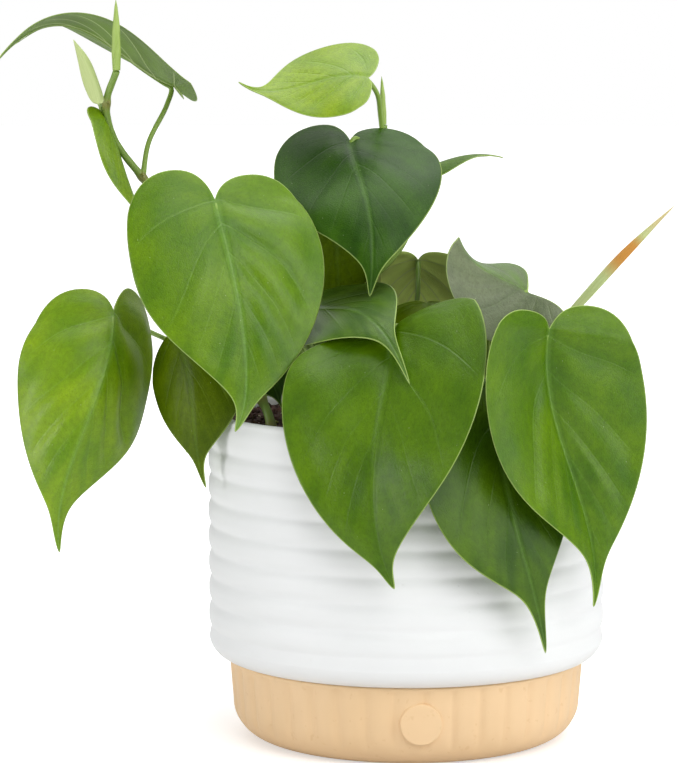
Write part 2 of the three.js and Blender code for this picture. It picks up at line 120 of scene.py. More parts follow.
def gridFaces(rows, columns, aroundColumns=False, first=0, flip=False):
    # one quad between each pair of rows and columns, and one more per row where the columns close
    r = columns * np.arange(rows - 1)[:, None]
    c = np.arange(columns if aroundColumns else columns - 1)[None, :]
    nextC = (c + 1) % columns
    quads = np.stack(np.broadcast_arrays(r + c, r + nextC, r + columns + nextC, r + columns + c), -1)
    quads = quads.reshape(-1, 4)
    return (quads[:, ::-1] if flip else quads) + first


def tube(path, radii, sides, fluted=0.0):
    # a ring round each stop of the path, in the two directions square to it. The rings' first direction
    # is square to the way that the path as a whole is flattest in, so they never twist
    ahead = unit(np.gradient(path, axis=0))
    flattest = np.linalg.svd(ahead)[2][-1]
    side = unit(np.cross(ahead, flattest))
    other = np.cross(ahead, side)
    turn = np.linspace(0, 2 * np.pi, sides, endpoint=False)
    reach = np.asarray(radii)[:, None, None] * (1 + fluted * np.cos(5 * turn))[None, :, None]
    outward = side[:, None] * np.cos(turn)[:, None] + other[:, None] * np.sin(turn)[:, None]
    return path[:, None] + reach * outward


def closedTube(path, radii, sides, fluted=0.0):
    # the tube with both ends drawn together to a point
    rings = tube(path, radii, sides, fluted)
    ends = [np.repeat(rings[k].mean(0)[None], sides, 0)[None] for k in (0, -1)]
    rings = np.concatenate([ends[0], rings, ends[1]])
    return rings.reshape(-1, 3), gridFaces(len(rings), sides, True)


def turnedShape(profile, segments, bend=None):
    # the profile's radius and height carried round the Z axis, with an optional change of radius that
    # depends on the angle and the place on the profile
    radius, height = np.array(profile, float).T
    turn = np.linspace(0, 2 * np.pi, segments, endpoint=False)
    wide = np.broadcast_to(radius[:, None], (len(radius), segments)).copy()
    if bend is not None:
        wide += bend(turn[None, :], radius[:, None], height[:, None])
    high = np.broadcast_to(height[:, None], wide.shape)
    points = np.stack([wide * np.sin(turn), -wide * np.cos(turn), high], -1)
    return points.reshape(-1, 3), gridFaces(len(radius), segments, True)


def roundArc(cx, cz, r, start, end, steps):
    # points on a circle about cx, cz, from the start to the end angle
    turn = np.radians(np.linspace(start, end, steps + 1))
    return np.stack([cx + r * np.cos(turn), cz + r * np.sin(turn)], 1)


def newPiece(name, shapes, materials, facts=None):
    # joins shapes of points in mm, quads and a material number to one mesh in metres, with named values
    mesh = bpy.data.meshes.new(name)
    counts = np.cumsum([0] + [len(points) for points, _, _ in shapes])
    points = np.concatenate([points for points, _, _ in shapes]) * mm
    faces = np.concatenate([quads + start for (_, quads, _), start in zip(shapes, counts)])
    mesh.from_pydata(points, [], faces.tolist(), shade_flat=False)
    for label, values in (facts or {}).items():
        kind = "FLOAT_VECTOR" if values.ndim == 2 else "FLOAT"
        layer = mesh.attributes.new(label, kind, "POINT")
        layer.data.foreach_set("vector" if values.ndim == 2 else "value", values.astype(np.float32).ravel())
    slots = np.concatenate([np.full(len(quads), which) for _, quads, which in shapes])
    mesh.polygons.foreach_set("material_index", slots.astype(np.int32))
    for material in materials:
        mesh.materials.append(material)
    work = bmesh.new()
    work.from_mesh(mesh)
    bmesh.ops.remove_doubles(work, verts=work.verts, dist=2e-6)
    bmesh.ops.recalc_face_normals(work, faces=work.faces)
    work.to_mesh(mesh)
    work.free()
    piece = bpy.data.objects.new(name, mesh)
    bpy.context.scene.collection.objects.link(piece)
    return piece


# Materials: shared node helpers. add(kind, inputs, output) adds a node and gives one of its outputs.

def fillInputs(tree, node, inputs):
    # a socket is linked to the input that its key names, and any other value is set on it
    for key, value in inputs.items():
        if isinstance(value, bpy.types.NodeSocket):
            tree.links.new(value, node.inputs[key])
        else:
            node.inputs[key].default_value = value


def nodeAdder(tree):
    def add(kind, inputs, output=0, **settings):
        node = tree.nodes.new("ShaderNode" + kind)
        for key, value in settings.items():
            setattr(node, key, value)
        fillInputs(tree, node, inputs)
        return node.outputs[output]

    return add


def startMaterial(name):
    material = bpy.data.materials.new(name)
    material.use_nodes = True
    return material, nodeAdder(material.node_tree)


def finishMaterial(material, inputs):
    tree = material.node_tree
    fillInputs(tree, tree.nodes["Principled BSDF"], inputs)
    return material


def colour(red, green, blue):
    # an sRGB colour of 0 to 255 as the linear values that the shader takes
    share = np.array([red, green, blue]) / 255
    linear = np.where(share <= 0.04045, share / 12.92, ((share + 0.055) / 1.055) ** 2.4)
    return (*linear.tolist(), 1.0)


def calculate(add, operation, a, b=0.0, clamp=False):
    return add("Math", {0: a, 1: b}, operation=operation, use_clamp=clamp)


def times(add, a, b):
    return calculate(add, "MULTIPLY", a, b)


def weigh(add, a, shareA, b, shareB, clamp=False):
    # the sum of two values, each times its own share
    return calculate(add, "ADD", times(add, a, shareA), times(add, b, shareB), clamp)


def blendColours(add, share, a, b):
    return add("Mix", {0: share, 6: a, 7: b}, 2, data_type="RGBA", blend_type="MIX")


def layerColours(add, under, *layers):
    # each layer covers what lies under it by its mask times its strength
    for mask, strength, over in layers:
        under = blendColours(add, times(add, mask, strength), under, over)
    return under


def rise(add, value, low, high, start=0.0, end=1.0):
    # start under low, end over high and a smooth step between
    sockets = {"Value": value, "From Min": low, "From Max": high, "To Min": start, "To Max": end}
    return add("MapRange", sockets, interpolation_type="SMOOTHSTEP")


def fall(add, value, low, high, start=1.0):
    # start under low, 0 over high and a smooth step between
    return rise(add, value, low, high, start, 0.0)


def cloud(add, place, scale, detail=2.0, roughness=0.5):
    return add("TexNoise", {"Vector": place, "Scale": scale, "Detail": detail, "Roughness": roughness})


def bumps(add, strength, depth, height):
    return add("Bump", {"Strength": strength, "Distance": depth, "Height": height})


def readFact(add, label, output=2):
    # a value that the mesh carries under this name: output 1 is a place and output 2 a number
    return add("Attribute", {}, output, attribute_name=label)


def splitParts(add, place, count=3):
    return [add("SeparateXYZ", {0: place}, k) for k in range(count)]


def stretch(add, *parts):
    # a place whose coordinates are the given values, each times its own factor
    return add("CombineXYZ", {k: times(add, value, factor) for k, (value, factor) in enumerate(parts)})


def objectPlace(add):
    return add("TexCoord", {}, 3)


# Leaf finishes. Each has the blade's light and deep green, what its sheen does, and how strong its
# veins show. A blade's attributes give its own flat place, its veins and its side.

leafFinishes = {
    "sunny": {"light": (128, 158, 16), "deep": (92, 130, 6), "lines": 0.2, "rib": 0.28, "specular": 0.34},
    "fresh": {"light": (100, 134, 4), "deep": (68, 106, 2), "lines": 0.14, "rib": 0.28, "specular": 0.30},
    "meadow": {"light": (92, 126, 0), "deep": (60, 98, 0), "lines": 0.08, "rib": 0.18, "specular": 0.26},
    "mature": {"light": (84, 118, 0), "deep": (58, 92, 0), "lines": 0.04, "rib": 0.06, "specular": 0.26},
    "deep": {"light": (76, 108, 2), "deep": (46, 78, 2), "lines": 0.04, "rib": 0.14, "specular": 0.24},
    "dark": {"light": (52, 88, 2), "deep": (30, 62, 2), "lines": 0.03, "rib": 0.12, "specular": 0.16},
    "dusky": {"light": (92, 114, 0), "deep": (64, 86, 0), "lines": 0.03, "rib": 0.08, "specular": 0.12},
    # painted sheen, in part: this finish's bluer green stands in for the sky's sheen on the upper side
    "bluishSheen": {"light": (82, 112, 30), "deep": (52, 84, 16), "lines": 0.06, "rib": 0.15, "specular": 0.26},
    # painted sheen: these grey greens stand in for the sheen on the leaf's upper side
    "greySheen": {
        "light": (114, 124, 92), "deep": (88, 102, 66), "lines": 0.05, "rib": 0.08, "specular": 0.36,
        # painted light: the left half's lime green stands in for the light on that half
        "leftHalfLit": (86, 126, 0)},
    "lime": {"light": (130, 156, 2), "deep": (100, 134, 2), "lines": 0.05, "rib": 0.12, "specular": 0.45},
    # painted light: this finish's pale underside colour stands in for light shining through the leaf
    "litThroughUnder": {
        "light": (78, 110, 2), "deep": (50, 82, 2), "lines": 0.07, "rib": 0.2, "specular": 0.3,
        "under": (216, 240, 130)},
}
leafSheen = {"rough": 0.30, "coat": 0.03, "coatRough": 0.3, "grain": 0.15}
leafMarks = {
    # the band along a side vein and the edge lines of the midrib give widths of painted shade
    "veinLine": (0.12, 0.55), "veinCreaseShade": (0.0, 3.6), "underLine": (0.15, 0.5),  # mm from a side vein
    "ribCore": (0.05, 0.35), "ribBand": (0.6, 1.25), "ribGrooveShade": (0.9, 1.3, 2.0),  # shares of half a rib
    "marginFade": (1.0, 9.0), "underFade": (1.0, 6.0), "edge": (0.2, 0.5),  # mm from the margin
    "streak": 1.6, "fold": 1.0, "zone": 0.045, "cell": 1.3, "mottle": 0.45,
    "speck": 0.28, "speckSize": 0.2,  # scales of the noises
}
leafTints = {
    "vein": (140, 176, 84),
    "midrib": (104, 146, 66),
    "midribCore": (140, 176, 90),
    "margin": (166, 190, 104),
    "under": (106, 138, 44),
    "underVein": (186, 204, 140),
    "speck": (215, 225, 190),
}


def leafMaterial(name, finish):
    material, add = startMaterial(name)
    flat, veins = readFact(add, "bladeFlat", 1), readFact(add, "bladeVein", 1)
    upper, crease = readFact(add, "bladeSide"), readFact(add, "bladeCrease")
    x, y, margin = splitParts(add, flat)
    phase, spacing, ribHalf = splitParts(add, veins)
    tint = {key: colour(*value) for key, value in leafTints.items()}
    mark = leafMarks

    # distance from the nearest side vein and from the midrib, in mm
    cycle = calculate(add, "FRACT", calculate(add, "ADD", phase, 0.5))
    fromVein = times(add, calculate(add, "ABSOLUTE", calculate(add, "SUBTRACT", cycle, 0.5)), spacing)
    fromRib = calculate(add, "ABSOLUTE", x)
    inner = times(add, rise(add, margin, *mark["marginFade"]), crease)
    veinLine = times(add, fall(add, fromVein, *mark["veinLine"]), inner)
    # painted shade: a band of the deep green along each side vein stands in for the shade in its crease
    veinCreaseShade = times(add, fall(add, fromVein, *mark["veinCreaseShade"]), inner)
    ribShare = calculate(add, "DIVIDE", fromRib, ribHalf)
    ribBand = fall(add, ribShare, *mark["ribBand"])
    ribCore = fall(add, ribShare, *mark["ribCore"])
    # painted shade: two dark lines along the midrib's edges stand in for the shade in its groove
    start, peak, end = mark["ribGrooveShade"]
    ribGrooveShade = times(add, rise(add, ribShare, start, peak), fall(add, ribShare, peak, end))

    # fine streaks run along the veins, soft patches and small cells lie across them
    streak = cloud(add, stretch(add, (phase, 8.0), (y, 0.05), (fromRib, 0.05)), mark["streak"], 3.0, 0.6)
    folds = cloud(add, stretch(add, (phase, 1.1), (y, 0.022), (x, 0.01)), mark["fold"])
    patch = weigh(add, folds, 0.5, cloud(add, flat, mark["zone"]), 0.5)
    cells = cloud(add, flat, mark["cell"], 3.0, 0.65)
    mottle = cloud(add, flat, mark["mottle"])
    dots = add("TexVoronoi", {"Vector": flat, "Scale": mark["speck"], "Randomness": 1.0})
    speckSize = cloud(add, flat, mark["speckSize"], 1.0)
    speck = times(add, fall(add, dots, 0.02, 0.07), rise(add, speckSize, 0.52, 0.62))

    light, deep = colour(*finish["light"]), colour(*finish["deep"])
    # painted light: a lighter green on the blade's left half stands in for the light on that half
    if "leftHalfLit" in finish:
        light = blendColours(add, rise(add, x, -0.4, 0.4), colour(*finish["leftHalfLit"]), light)
    shade = calculate(add, "ADD", rise(add, patch, 0.3, 0.7), times(add, streak, 0.22))
    shade = calculate(add, "SUBTRACT", shade, times(add, cells, 0.3), True)
    # painted shade: the deep green along the side veins and the midrib's edges stands in for the shade in
    # their creases
    top = layerColours(
        add, blendColours(add, shade, deep, light),
        (veinCreaseShade, 0.3, deep), (veinLine, finish["lines"], tint["vein"]), (ribGrooveShade, 0.35, deep),
        (ribBand, finish["rib"], tint["midrib"]), (ribCore, 0.5 * finish["rib"], tint["midribCore"]),
        (speck, 0.5, tint["speck"]))
    spread = leafSheen["grain"]
    grain = rise(add, weigh(add, cells, 0.6, mottle, 0.4), 0.34, 0.66, 1 - spread, 1 + spread)
    top = add("VectorMath", {0: top, "Scale": grain}, operation="SCALE")

    # a finish's own underside colour, where it gives one, is painted light shining through the leaf
    under = np.array(finish.get("under", leafTints["under"]))
    below = blendColours(add, rise(add, patch, 0.35, 0.65), colour(*(0.86 * under)), colour(*under))
    underLine = times(add, fall(add, fromVein, *mark["underLine"]), rise(add, margin, *mark["underFade"]))
    below = layerColours(add, below, (underLine, 0.5, tint["underVein"]), (ribBand, 0.6, tint["underVein"]))

    whole = blendColours(add, upper, below, top)
    gloss = calculate(add, "ADD", leafSheen["rough"] - 0.08, times(add, cells, 0.16))
    dull = times(add, calculate(add, "SUBTRACT", 1.0, upper), 0.22)
    height = calculate(add, "SUBTRACT", weigh(add, streak, 0.3, cells, 0.6), times(add, veinLine, 0.5))
    return finishMaterial(material, {
        "Base Color": blendColours(add, fall(add, margin, *mark["edge"], 0.7), whole, tint["margin"]),
        "Roughness": calculate(add, "ADD", gloss, dull),
        "Coat Weight": leafSheen["coat"], "Coat Roughness": leafSheen["coatRough"],
        "Specular IOR Level": finish["specular"],
        "Normal": bumps(add, 0.8, 0.0003, height)})


stemTints = {
    "stalk": (112, 144, 46), "stalkPale": (140, 168, 76), "shadedStalk": (44, 66, 14),
    "vine": (98, 130, 46), "vinePale": (128, 156, 70), "knuckle": (128, 118, 58),
    "spear": (124, 158, 52), "spearPale": (168, 190, 104),
}


def stemMaterial(name, main, pale, knuckle=None):
    # lengthwise streaks from a point's place along and round the stem, in the stemPlace attribute
    material, add = startMaterial(name)
    along, around, knot = splitParts(add, readFact(add, "stemPlace", 1))
    streak = cloud(add, stretch(add, (along, 0.06), (around, 1.0)), 2.2, 3.0)
    blotch = cloud(add, objectPlace(add), 160.0, 3.0)
    shade = weigh(add, streak, 0.7, blotch, 0.5, True)
    tone = blendColours(add, shade, colour(*stemTints[main]), colour(*stemTints[pale]))
    if knuckle:
        tone = layerColours(add, tone, (knot, 0.7, colour(*stemTints[knuckle])))
    return finishMaterial(material, {
        "Base Color": tone, "Roughness": rise(add, blotch, 0.3, 0.7, 0.36, 0.5),
        "Normal": bumps(add, 0.5, 0.00015, streak)})


leafMaterials = {name: leafMaterial(f"{name}LeafSkin", finish) for name, finish in leafFinishes.items()}
stalkMaterial = stemMaterial("stalkSkin", "stalk", "stalkPale")
shadedStalkMaterial = stemMaterial("shadedStalkSkin", "shadedStalk", "stalk")
vineMaterial = stemMaterial("vineSkin", "vine", "vinePale", "knuckle")
spearMaterial = stemMaterial("spearSkin", "spear", "spearPale")
print("plant materials made")


# Leaves

# Half of a flat blade from the notch round the lobe to the tip. Across, 1 is the half width. Along, 1 is
# the length, lobe counts in lobe lengths, and the drip tip's length times tail comes off. rib is how far up
# the midrib the two ends of a curve are fanned from.
heartOutline = [
    {"across": (0, 0.06, 0.2, 0.44), "lobe": (0, -0.62, -1, -1), "rib": (0, 0.03), "rows": 10},
    {"across": (0.44, 0.8, 1, 1), "lobe": (-1, -1, -0.45, 0), "along": (0, 0, 0.06, 0.25),
     "rib": (0.03, 0.16), "rows": 18},
    {"across": (1, 1, 0.56, 0.14), "along": (0.25, 0.52, 0.84, 1), "tail": (0, 0, 1, 1),
     "rib": (0.16, 0.8), "rows": 42},
    {"across": (0.14, 0.05, 0.045, 0), "along": (1, 1, 1, 1), "tail": (1, 0.72, 0.1, 0),
     "rib": (0.8, 1), "rows": 14},
]
lanceOutline = [
    {"across": (0, 0.7, 1, 1), "along": (0, 0, 0.08, 0.3), "rib": (0, 0.2), "rows": 16},
    {"across": (1, 1, 0.35, 0), "along": (0.3, 0.55, 0.85, 1), "rib": (0.2, 1), "rows": 34},
]
bladeMake = {
    "thickness": 0.5,
    "columns": 65,
    "crowding": 0.085,  # how much closer the columns stand at the midrib and the margin
    "veins": (0, 2, 4, 7), "strong": (1.0, 1.0, 0.55, 0.25),  # a crease's depth from the notch's vein on
    "firstVein": -6, "veinCount": 16,
    "veinWander": 0.06, "wanderLength": 45,  # spacings between veins, and mm
    "ribFade": (0.5, 9), "marginFade": (0, 11), "tipFade": (0.4, 0.95),  # mm, mm, lengths
    "swell": 0.012, "swellLength": 34,  # half widths, and mm
    "tipBlend": 6,  # rows on each side of the drip tip's start that round its corner
    "ribGroove": 0.5,  # mm
    "ribHalf": 1.5,  # half width of the midrib's band at the notch
    "stalkRadius": 1.05, "stalkSides": 12, "seatFlare": 0.35,
    "keel": 0.9,  # four times the radius of the midrib under the middle of the blade
    "keelStops": (0.02, 0.06, 0.12, 0.2, 0.3, 0.4, 0.5, 0.6, 0.7, 0.8, 0.93),
}

# Every value in mm, degrees and shares, as in the solids. quilt is how far the blade puffs up between the
# side veins of the right and left half, finish names its greens, and seat is the vine that the stalk
# grows from and which of its points.
usualLeaf = {
    "lobe": 0.13, "tail": 0.14, "bow": (4, 4), "sway": (0, 0), "fold": (5, 5), "curl": (22, 22),
    "twist": 0, "lobeDrop": 20, "quilt": (0.8, 0.8), "wave": 0.5, "hook": (0, 0),
    "finish": "mature", "stalk": [],
}
leaves = {
    "front_left": {
        "base": (-75.4, -42, 219.7), "tip": (-64.7, -68.1, 131.4), "face": (0.29, -0.91, 0.3),
        "width": 76.4, "lobe": 0.106, "leftLobe": 0.145, "bow": (6.9, 4), "sway": (0.2, 5.8),
        "fold": (-2, -1), "curl": (13, 28), "twist": 8, "lobeDrop": -11, "seat": ("tall_left", 3),
        "stalk": [(-70, 3, 198), (-76, -25, 217)], "quilt": (2.2, 0.6), "hook": (-3, 2),
        "finish": "fresh",
    },
    "far_left": {
        "base": (-116.6, -18.7, 173.9), "tip": (-138.2, -30.7, 78.8), "face": (0.39, -0.92, 0.11),
        "width": 74.1, "lobe": 0.168, "leftLobe": 0.117, "tail": 0.18, "bow": (14.4, 7.4),
        "sway": (1.2, -10.7), "fold": (35, 20), "curl": (18, 31), "twist": 18, "lobeDrop": -8,
        "seat": ("low_left", 3),
        "stalk": [(-82, -6, 155), (-97.7, 8, 160.5), (-106, 15, 163.5), (-113, 5, 168.5), (-117, -10, 173)],
        "quilt": (2.6, 3), "finish": "sunny",
    },
    "low_left": {
        "base": (-92.7, -24, 165.3), "tip": (-79.6, -37, 105.6), "face": (-0.38, -0.91, 0.14),
        "width": 45.1, "lobe": 0.115, "leftLobe": 0.093, "tail": 0.2, "bow": (6.3, 4.1),
        "sway": (7.6, -0.7), "fold": (6, 12), "curl": (25, 21), "twist": 2, "lobeDrop": 27,
        "seat": ("low_left", 2), "stalk": [(-72, -26, 154), (-88, -18, 162)], "quilt": (0.3, 0.3),
        "finish": "dusky",
    },
    "small_low": {
        "base": (-61, -12, 159), "tip": (-50, -26, 136), "face": (0.1, -0.9, 0.4), "width": 24,
        "seat": ("low_left", 1), "stalk": [(-58, -26, 146), (-62, -6, 155)], "finish": "dark",
    },
    "top_left": {
        "base": (-94.4, 31, 262.9), "tip": (-164.8, 6.6, 273.2), "face": (-0.01, 0.02, 1),
        "width": 59.2, "lobe": 0.119, "leftLobe": 0.123, "tail": 0.08, "bow": (2.5, 25.7),
        "sway": (-1.2, 5.6), "fold": (-5, -16), "curl": (10, 9), "twist": 14, "lobeDrop": 39,
        "seat": ("tall_left", 5), "stalk": [(-105, 20, 240), (-98, 28, 255)], "finish": "mature",
    },
    "edge_left": {
        "base": (-121, 2, 251), "tip": (-104, 4, 205), "face": (1, -0.3, 0.3), "width": 20,
        "bow": (0, -2), "fold": (8, 8), "curl": (40, 40), "seat": ("tall_left", 7),
        "stalk": [(-123, 3, 255)], "quilt": (0.3, 0.3), "finish": "sunny",
    },
    "top_centre": {
        "base": (-22.8, 5.6, 241.5), "tip": (-15.4, -45.4, 181.7), "face": (0.12, -0.86, 0.51),
        "width": 68, "lobe": 0.131, "leftLobe": 0.174, "tail": 0.13, "bow": (7.3, 15.8),
        "sway": (-1.6, 3.3), "fold": (-4, 10), "curl": (12, 20), "twist": 3, "lobeDrop": -5,
        "seat": ("tall_centre", 4), "stalk": [(-14, 12, 236), (-21, 6, 242)], "quilt": (0.5, 0.5),
        "finish": "dark",
    },
    "young_top": {
        "base": (-15.7, -0.6, 266.7), "tip": (-67.5, -4.2, 263.9), "face": (0, -0.66, 0.75),
        "width": 41.2, "lobe": 0.054, "leftLobe": 0.052, "tail": 0.21, "bow": (1.6, -9.4),
        "sway": (-3.2, -0.3), "fold": (-2, 0), "curl": (18, 4), "twist": -2, "lobeDrop": 2,
        "seat": ("tall_centre", 5), "stalk": [(-10.5, 14, 251), (-12, 7, 260)], "quilt": (0.35, 0.35),
        "hook": (1, 2), "finish": "lime",
    },
    "behind_top": {
        "base": (-29, 6, 219), "tip": (-27, 15, 167), "face": (0, -0.9, 0.4), "width": 46,
        "bow": (0, 0), "seat": ("tall_centre", 3), "stalk": [(-20, 18, 200), (-28, 14, 213)],
        "finish": "dusky",
    },
    "rolled_back": {
        "base": (-2, 24, 225), "tip": (39.5, 15, 234), "face": (0.1, -0.1, 1), "width": 24,
        "bow": (2, 5), "fold": (10, 10), "curl": (30, 30), "seat": ("tall_centre", 3),
        "stalk": [(-5, 15, 193), (1, 18, 203), (1, 24, 216)], "quilt": (0.3, 0.3), "finish": "mature",
    },
    "drooping": {
        "base": (-43, -5, 175.4), "tip": (-0.7, -88, 151.8), "face": (-0.02, -0.61, 0.79),
        "width": 46.5, "lobe": 0.129, "leftLobe": 0.07, "tail": 0.2, "bow": (3.3, 20.8),
        "sway": (0.2, 4), "fold": (-7, 8), "curl": (6, 27), "twist": 4, "lobeDrop": 10,
        "seat": ("front", 2), "stalk": [(-24, -24, 156), (-39, -11, 168)], "quilt": (0.6, 0.5),
        "finish": "bluishSheen",
    },
    "front_centre": {
        "base": (-6.6, -62, 170.9), "tip": (-6.5, -97, 75.7), "face": (-0.34, -0.9, 0.28),
        "width": 81.5, "lobe": 0.084, "leftLobe": 0, "tail": 0.11, "bow": (12.7, 11.3),
        "sway": (3.7, -8.2), "fold": (-9, -6), "curl": (6, 3), "twist": 4, "lobeDrop": 19,
        "seat": ("front", 3), "stalk": [(-4, -38, 164), (-5, -52, 171)], "quilt": (0.3, 0.3),
        "finish": "mature",
    },
    "low_right": {
        "base": (33.7, -66.1, 148.1), "tip": (51.9, -74.8, 46.9), "face": (0.38, -0.91, 0.15),
        "width": 69.3, "leftLobe": 0.04, "tail": 0.23, "bow": (9.7, 8.5), "sway": (-11.5, -2.7),
        "fold": (3, -4), "curl": (17, 4), "seat": ("right", 2),
        "stalk": [(37, -34, 151), (34, -54, 154)], "quilt": (0.6, 0.6), "finish": "deep",
    },
    "front_right": {
        "base": (52.9, -70.9, 171.6), "tip": (70.5, -70.3, 64.1), "face": (0.26, -0.94, 0.19),
        "width": 76.3, "lobe": 0.105, "leftLobe": 0.06, "tail": 0.17, "bow": (-2.6, -1.1),
        "sway": (-8.2, 8.2), "fold": (-5, -36), "curl": (2, 12), "twist": -3, "seat": ("right", 3),
        "stalk": [(50, -34, 166), (53, -60, 169)], "quilt": (2.2, 1.8), "finish": "meadow",
    },
    "folded_right": {
        "base": (48.9, -5.4, 180.5), "tip": (20.7, -5.2, 202.8), "face": (0.15, -0.56, 0.81),
        "width": 50.6, "lobe": 0.55, "leftLobe": -0.02, "tail": 0.04, "bow": (0, -2.1),
        "sway": (1.5, 6.5), "fold": (34, 11), "curl": (17, 19), "twist": 29, "lobeDrop": -29,
        "seat": ("right", 4), "stalk": [(60, 2, 170)], "quilt": (0.4, 0.4), "finish": "greySheen",
    },
    "turned_away": {
        "base": (5.2, 24, 192.2), "tip": (5.3, 60, 155.4), "face": (0, 0.9, 0.42), "width": 47.5,
        "lobe": 0.137, "bow": (2, 4), "fold": (4, 4), "curl": (20, 20), "lobeDrop": 0,
        "seat": ("tall_centre", 2), "stalk": [(4, 15, 173), (5, 17, 187)], "finish": "litThroughUnder",
    },
    "shaded": {
        "base": (8, 0, 176), "tip": (12, -24, 146), "face": (0.05, -0.75, 0.65), "width": 34,
        "lobe": 0.16, "seat": ("tall_centre", 1), "stalk": [(6, 12, 152), (7, 7, 170)],
        "finish": "dusky",
    },
    "back_top": {
        "base": (-22, 36, 224), "tip": (-32, 60, 178), "face": (-0.15, 0.9, 0.4), "width": 50,
        "seat": ("tall_centre", 4), "stalk": [(-16, 28, 227)], "finish": "dark",
    },
    "back_centre": {
        "base": (10, 66, 170), "tip": (0, 100, 84), "face": (0.05, 1, 0.3), "width": 62,
        "seat": ("back", 2), "stalk": [(13, 56, 162), (11, 62, 169)], "quilt": (1.2, 0.8),
        "finish": "mature",
    },
    "back_right": {
        "base": (50, 58, 168), "tip": (62, 90, 84), "face": (0.45, 0.85, 0.3), "width": 54,
        "seat": ("back", 3), "stalk": [(36, 50, 173)], "quilt": (0.9, 1.1), "finish": "fresh",
    },
    "back_left": {
        "base": (-44, 66, 166), "tip": (-60, 94, 86), "face": (-0.4, 0.9, 0.3), "width": 56,
        "seat": ("back_left", 2), "stalk": [(-43, 54, 160)], "quilt": (0.8, 1), "finish": "fresh",
    },
    "side_left": {
        "base": (-72, 42, 172), "tip": (-92, 54, 108), "face": (-0.85, 0.4, 0.35), "width": 46,
        "seat": ("back_left", 3), "stalk": [(-62, 44, 170)], "finish": "mature",
    },
    "side_right": {
        "base": (80, 14, 160), "tip": (95, 26, 96), "face": (0.95, 0.15, 0.3), "width": 42,
        "seat": ("right", 3), "stalk": [(60, 2, 158), (74, 10, 163)], "finish": "mature",
    },
}

vines = {
    "tall_left": {"radius": 1.6, "points": [
        (-24, 8, 98), (-25, 8, 130), (-40, 12, 158), (-66, 16, 184), (-92, 14, 209), (-107, 12, 226),
        (-118, 5, 242), (-120.5, -1, 256), (-116, -6, 269)]},
    "low_left": {"radius": 1.8, "points": [
        (-54, -36, 100), (-54, -36, 130), (-58, -31, 140), (-66, -25, 148)]},
    "tall_centre": {"radius": 1.6, "points": [
        (2, 14, 98), (2, 14, 130), (-4, 14, 160), (-12.5, 13, 186), (-10, 19, 225), (-9, 20, 238),
        (-9, 19, 247)]},
    "front": {"radius": 1.8, "points": [
        (-12, -40, 100), (-12, -40, 130), (-10, -36, 142), (-5, -33, 154)]},
    "right": {"radius": 1.8, "points": [
        (30, -16, 100), (31, -16, 130), (37, -15, 146), (48, -12, 158), (57, -8, 165), (62, -6, 169)]},
    "back": {"radius": 1.8, "points": [(10, 42, 100), (11, 42, 130), (14, 44, 148), (20, 46, 164)]},
    "back_left": {"radius": 1.8, "points": [
        (-34, 36, 100), (-35, 37, 130), (-41, 42, 147), (-50, 46, 160)]},
}


def bentSheet(leaf):
    # Takes places on the flat blade, x across in mm and y along in lengths, and gives points in space.
    # The midrib is a cubic curve with a hooked end, each half is an arc that starts at the fold angle and
    # turns by the curl, and the lobes behind the notch drop back.
    foot, tip = np.array(leaf["base"], float), np.array(leaf["tip"], float)
    chord = tip - foot
    length = np.linalg.norm(chord)
    ahead = chord / length
    up = np.array(leaf["face"], float)
    up = unit(up - ahead * (ahead @ up))
    right = np.cross(up, ahead)
    bow, sway = leaf["bow"], leaf["sway"]
    knees = [foot + chord * (k + 1) / 3 + 1.5 * (bow[k] * up + sway[k] * right) for k in (0, 1)]
    control = np.array([foot, knees[0], knees[1], tip])[:, None, None, :]
    drop = math.radians(leaf["lobeDrop"])
    hook = leaf["hook"][0] * right + leaf["hook"][1] * up

    def place(x, y):
        at = np.clip(y, 0, 1)[..., None]
        forward = unit(
            (1 - at) ** 2 * (control[1] - control[0]) + 2 * (1 - at) * at * (control[2] - control[1])
            + at**2 * (control[3] - control[2]))
        normal = unit(up - forward * (forward @ up)[..., None])
        turn = np.radians(leaf["twist"]) * at
        normal = normal * np.cos(turn) + np.cross(forward, normal) * np.sin(turn)
        side = np.cross(normal, forward)
        onRight = x > 0
        start = np.radians(np.where(onRight, leaf["fold"][0], leaf["fold"][1]))
        bend = np.radians(np.where(onRight, leaf["curl"][0], leaf["curl"][1])) / (leaf["width"] / 2)
        bend = np.where(np.abs(bend) < 1e-6, 1e-6, bend)
        end = start + bend * np.abs(x)
        outward = (np.sign(x) * (np.sin(end) - np.sin(start)) / bend)[..., None]
        upward = ((np.cos(end) - np.cos(start)) / bend)[..., None]
        past = (np.minimum(y, 0) * length)[..., None]
        spot = cubicCurve(control, at) + side * outward + normal * upward
        spot = spot + hook * np.clip((at - 0.8) / 0.2, 0, 1) ** 2.5
        return spot + past * (forward * np.cos(drop) + normal * np.sin(drop))

    def facing(x, y):
        # square to the sheet, from two short steps across and along it
        across = place(x + 0.05, y) - place(x - 0.05, y)
        along = place(x, y + 0.001) - place(x, y - 0.001)
        return unit(np.cross(along, across))

    return place, facing, length


def veinPhase(x, y, halfWidth):
    # whole numbers on the side veins: they leave the midrib closer together near the notch, run out
    # almost straight and arch towards the tip, each a stretched copy of the one before
    share = np.minimum(np.abs(x / halfWidth), 1.3)
    outward = 0.5 * share + 0.5 * share**2.5
    origin = (y - 0.15 * outward) / (1 + 4.6 * outward)
    return 3.0 * np.arcsinh((origin + 0.06) / 0.3) + 0.3


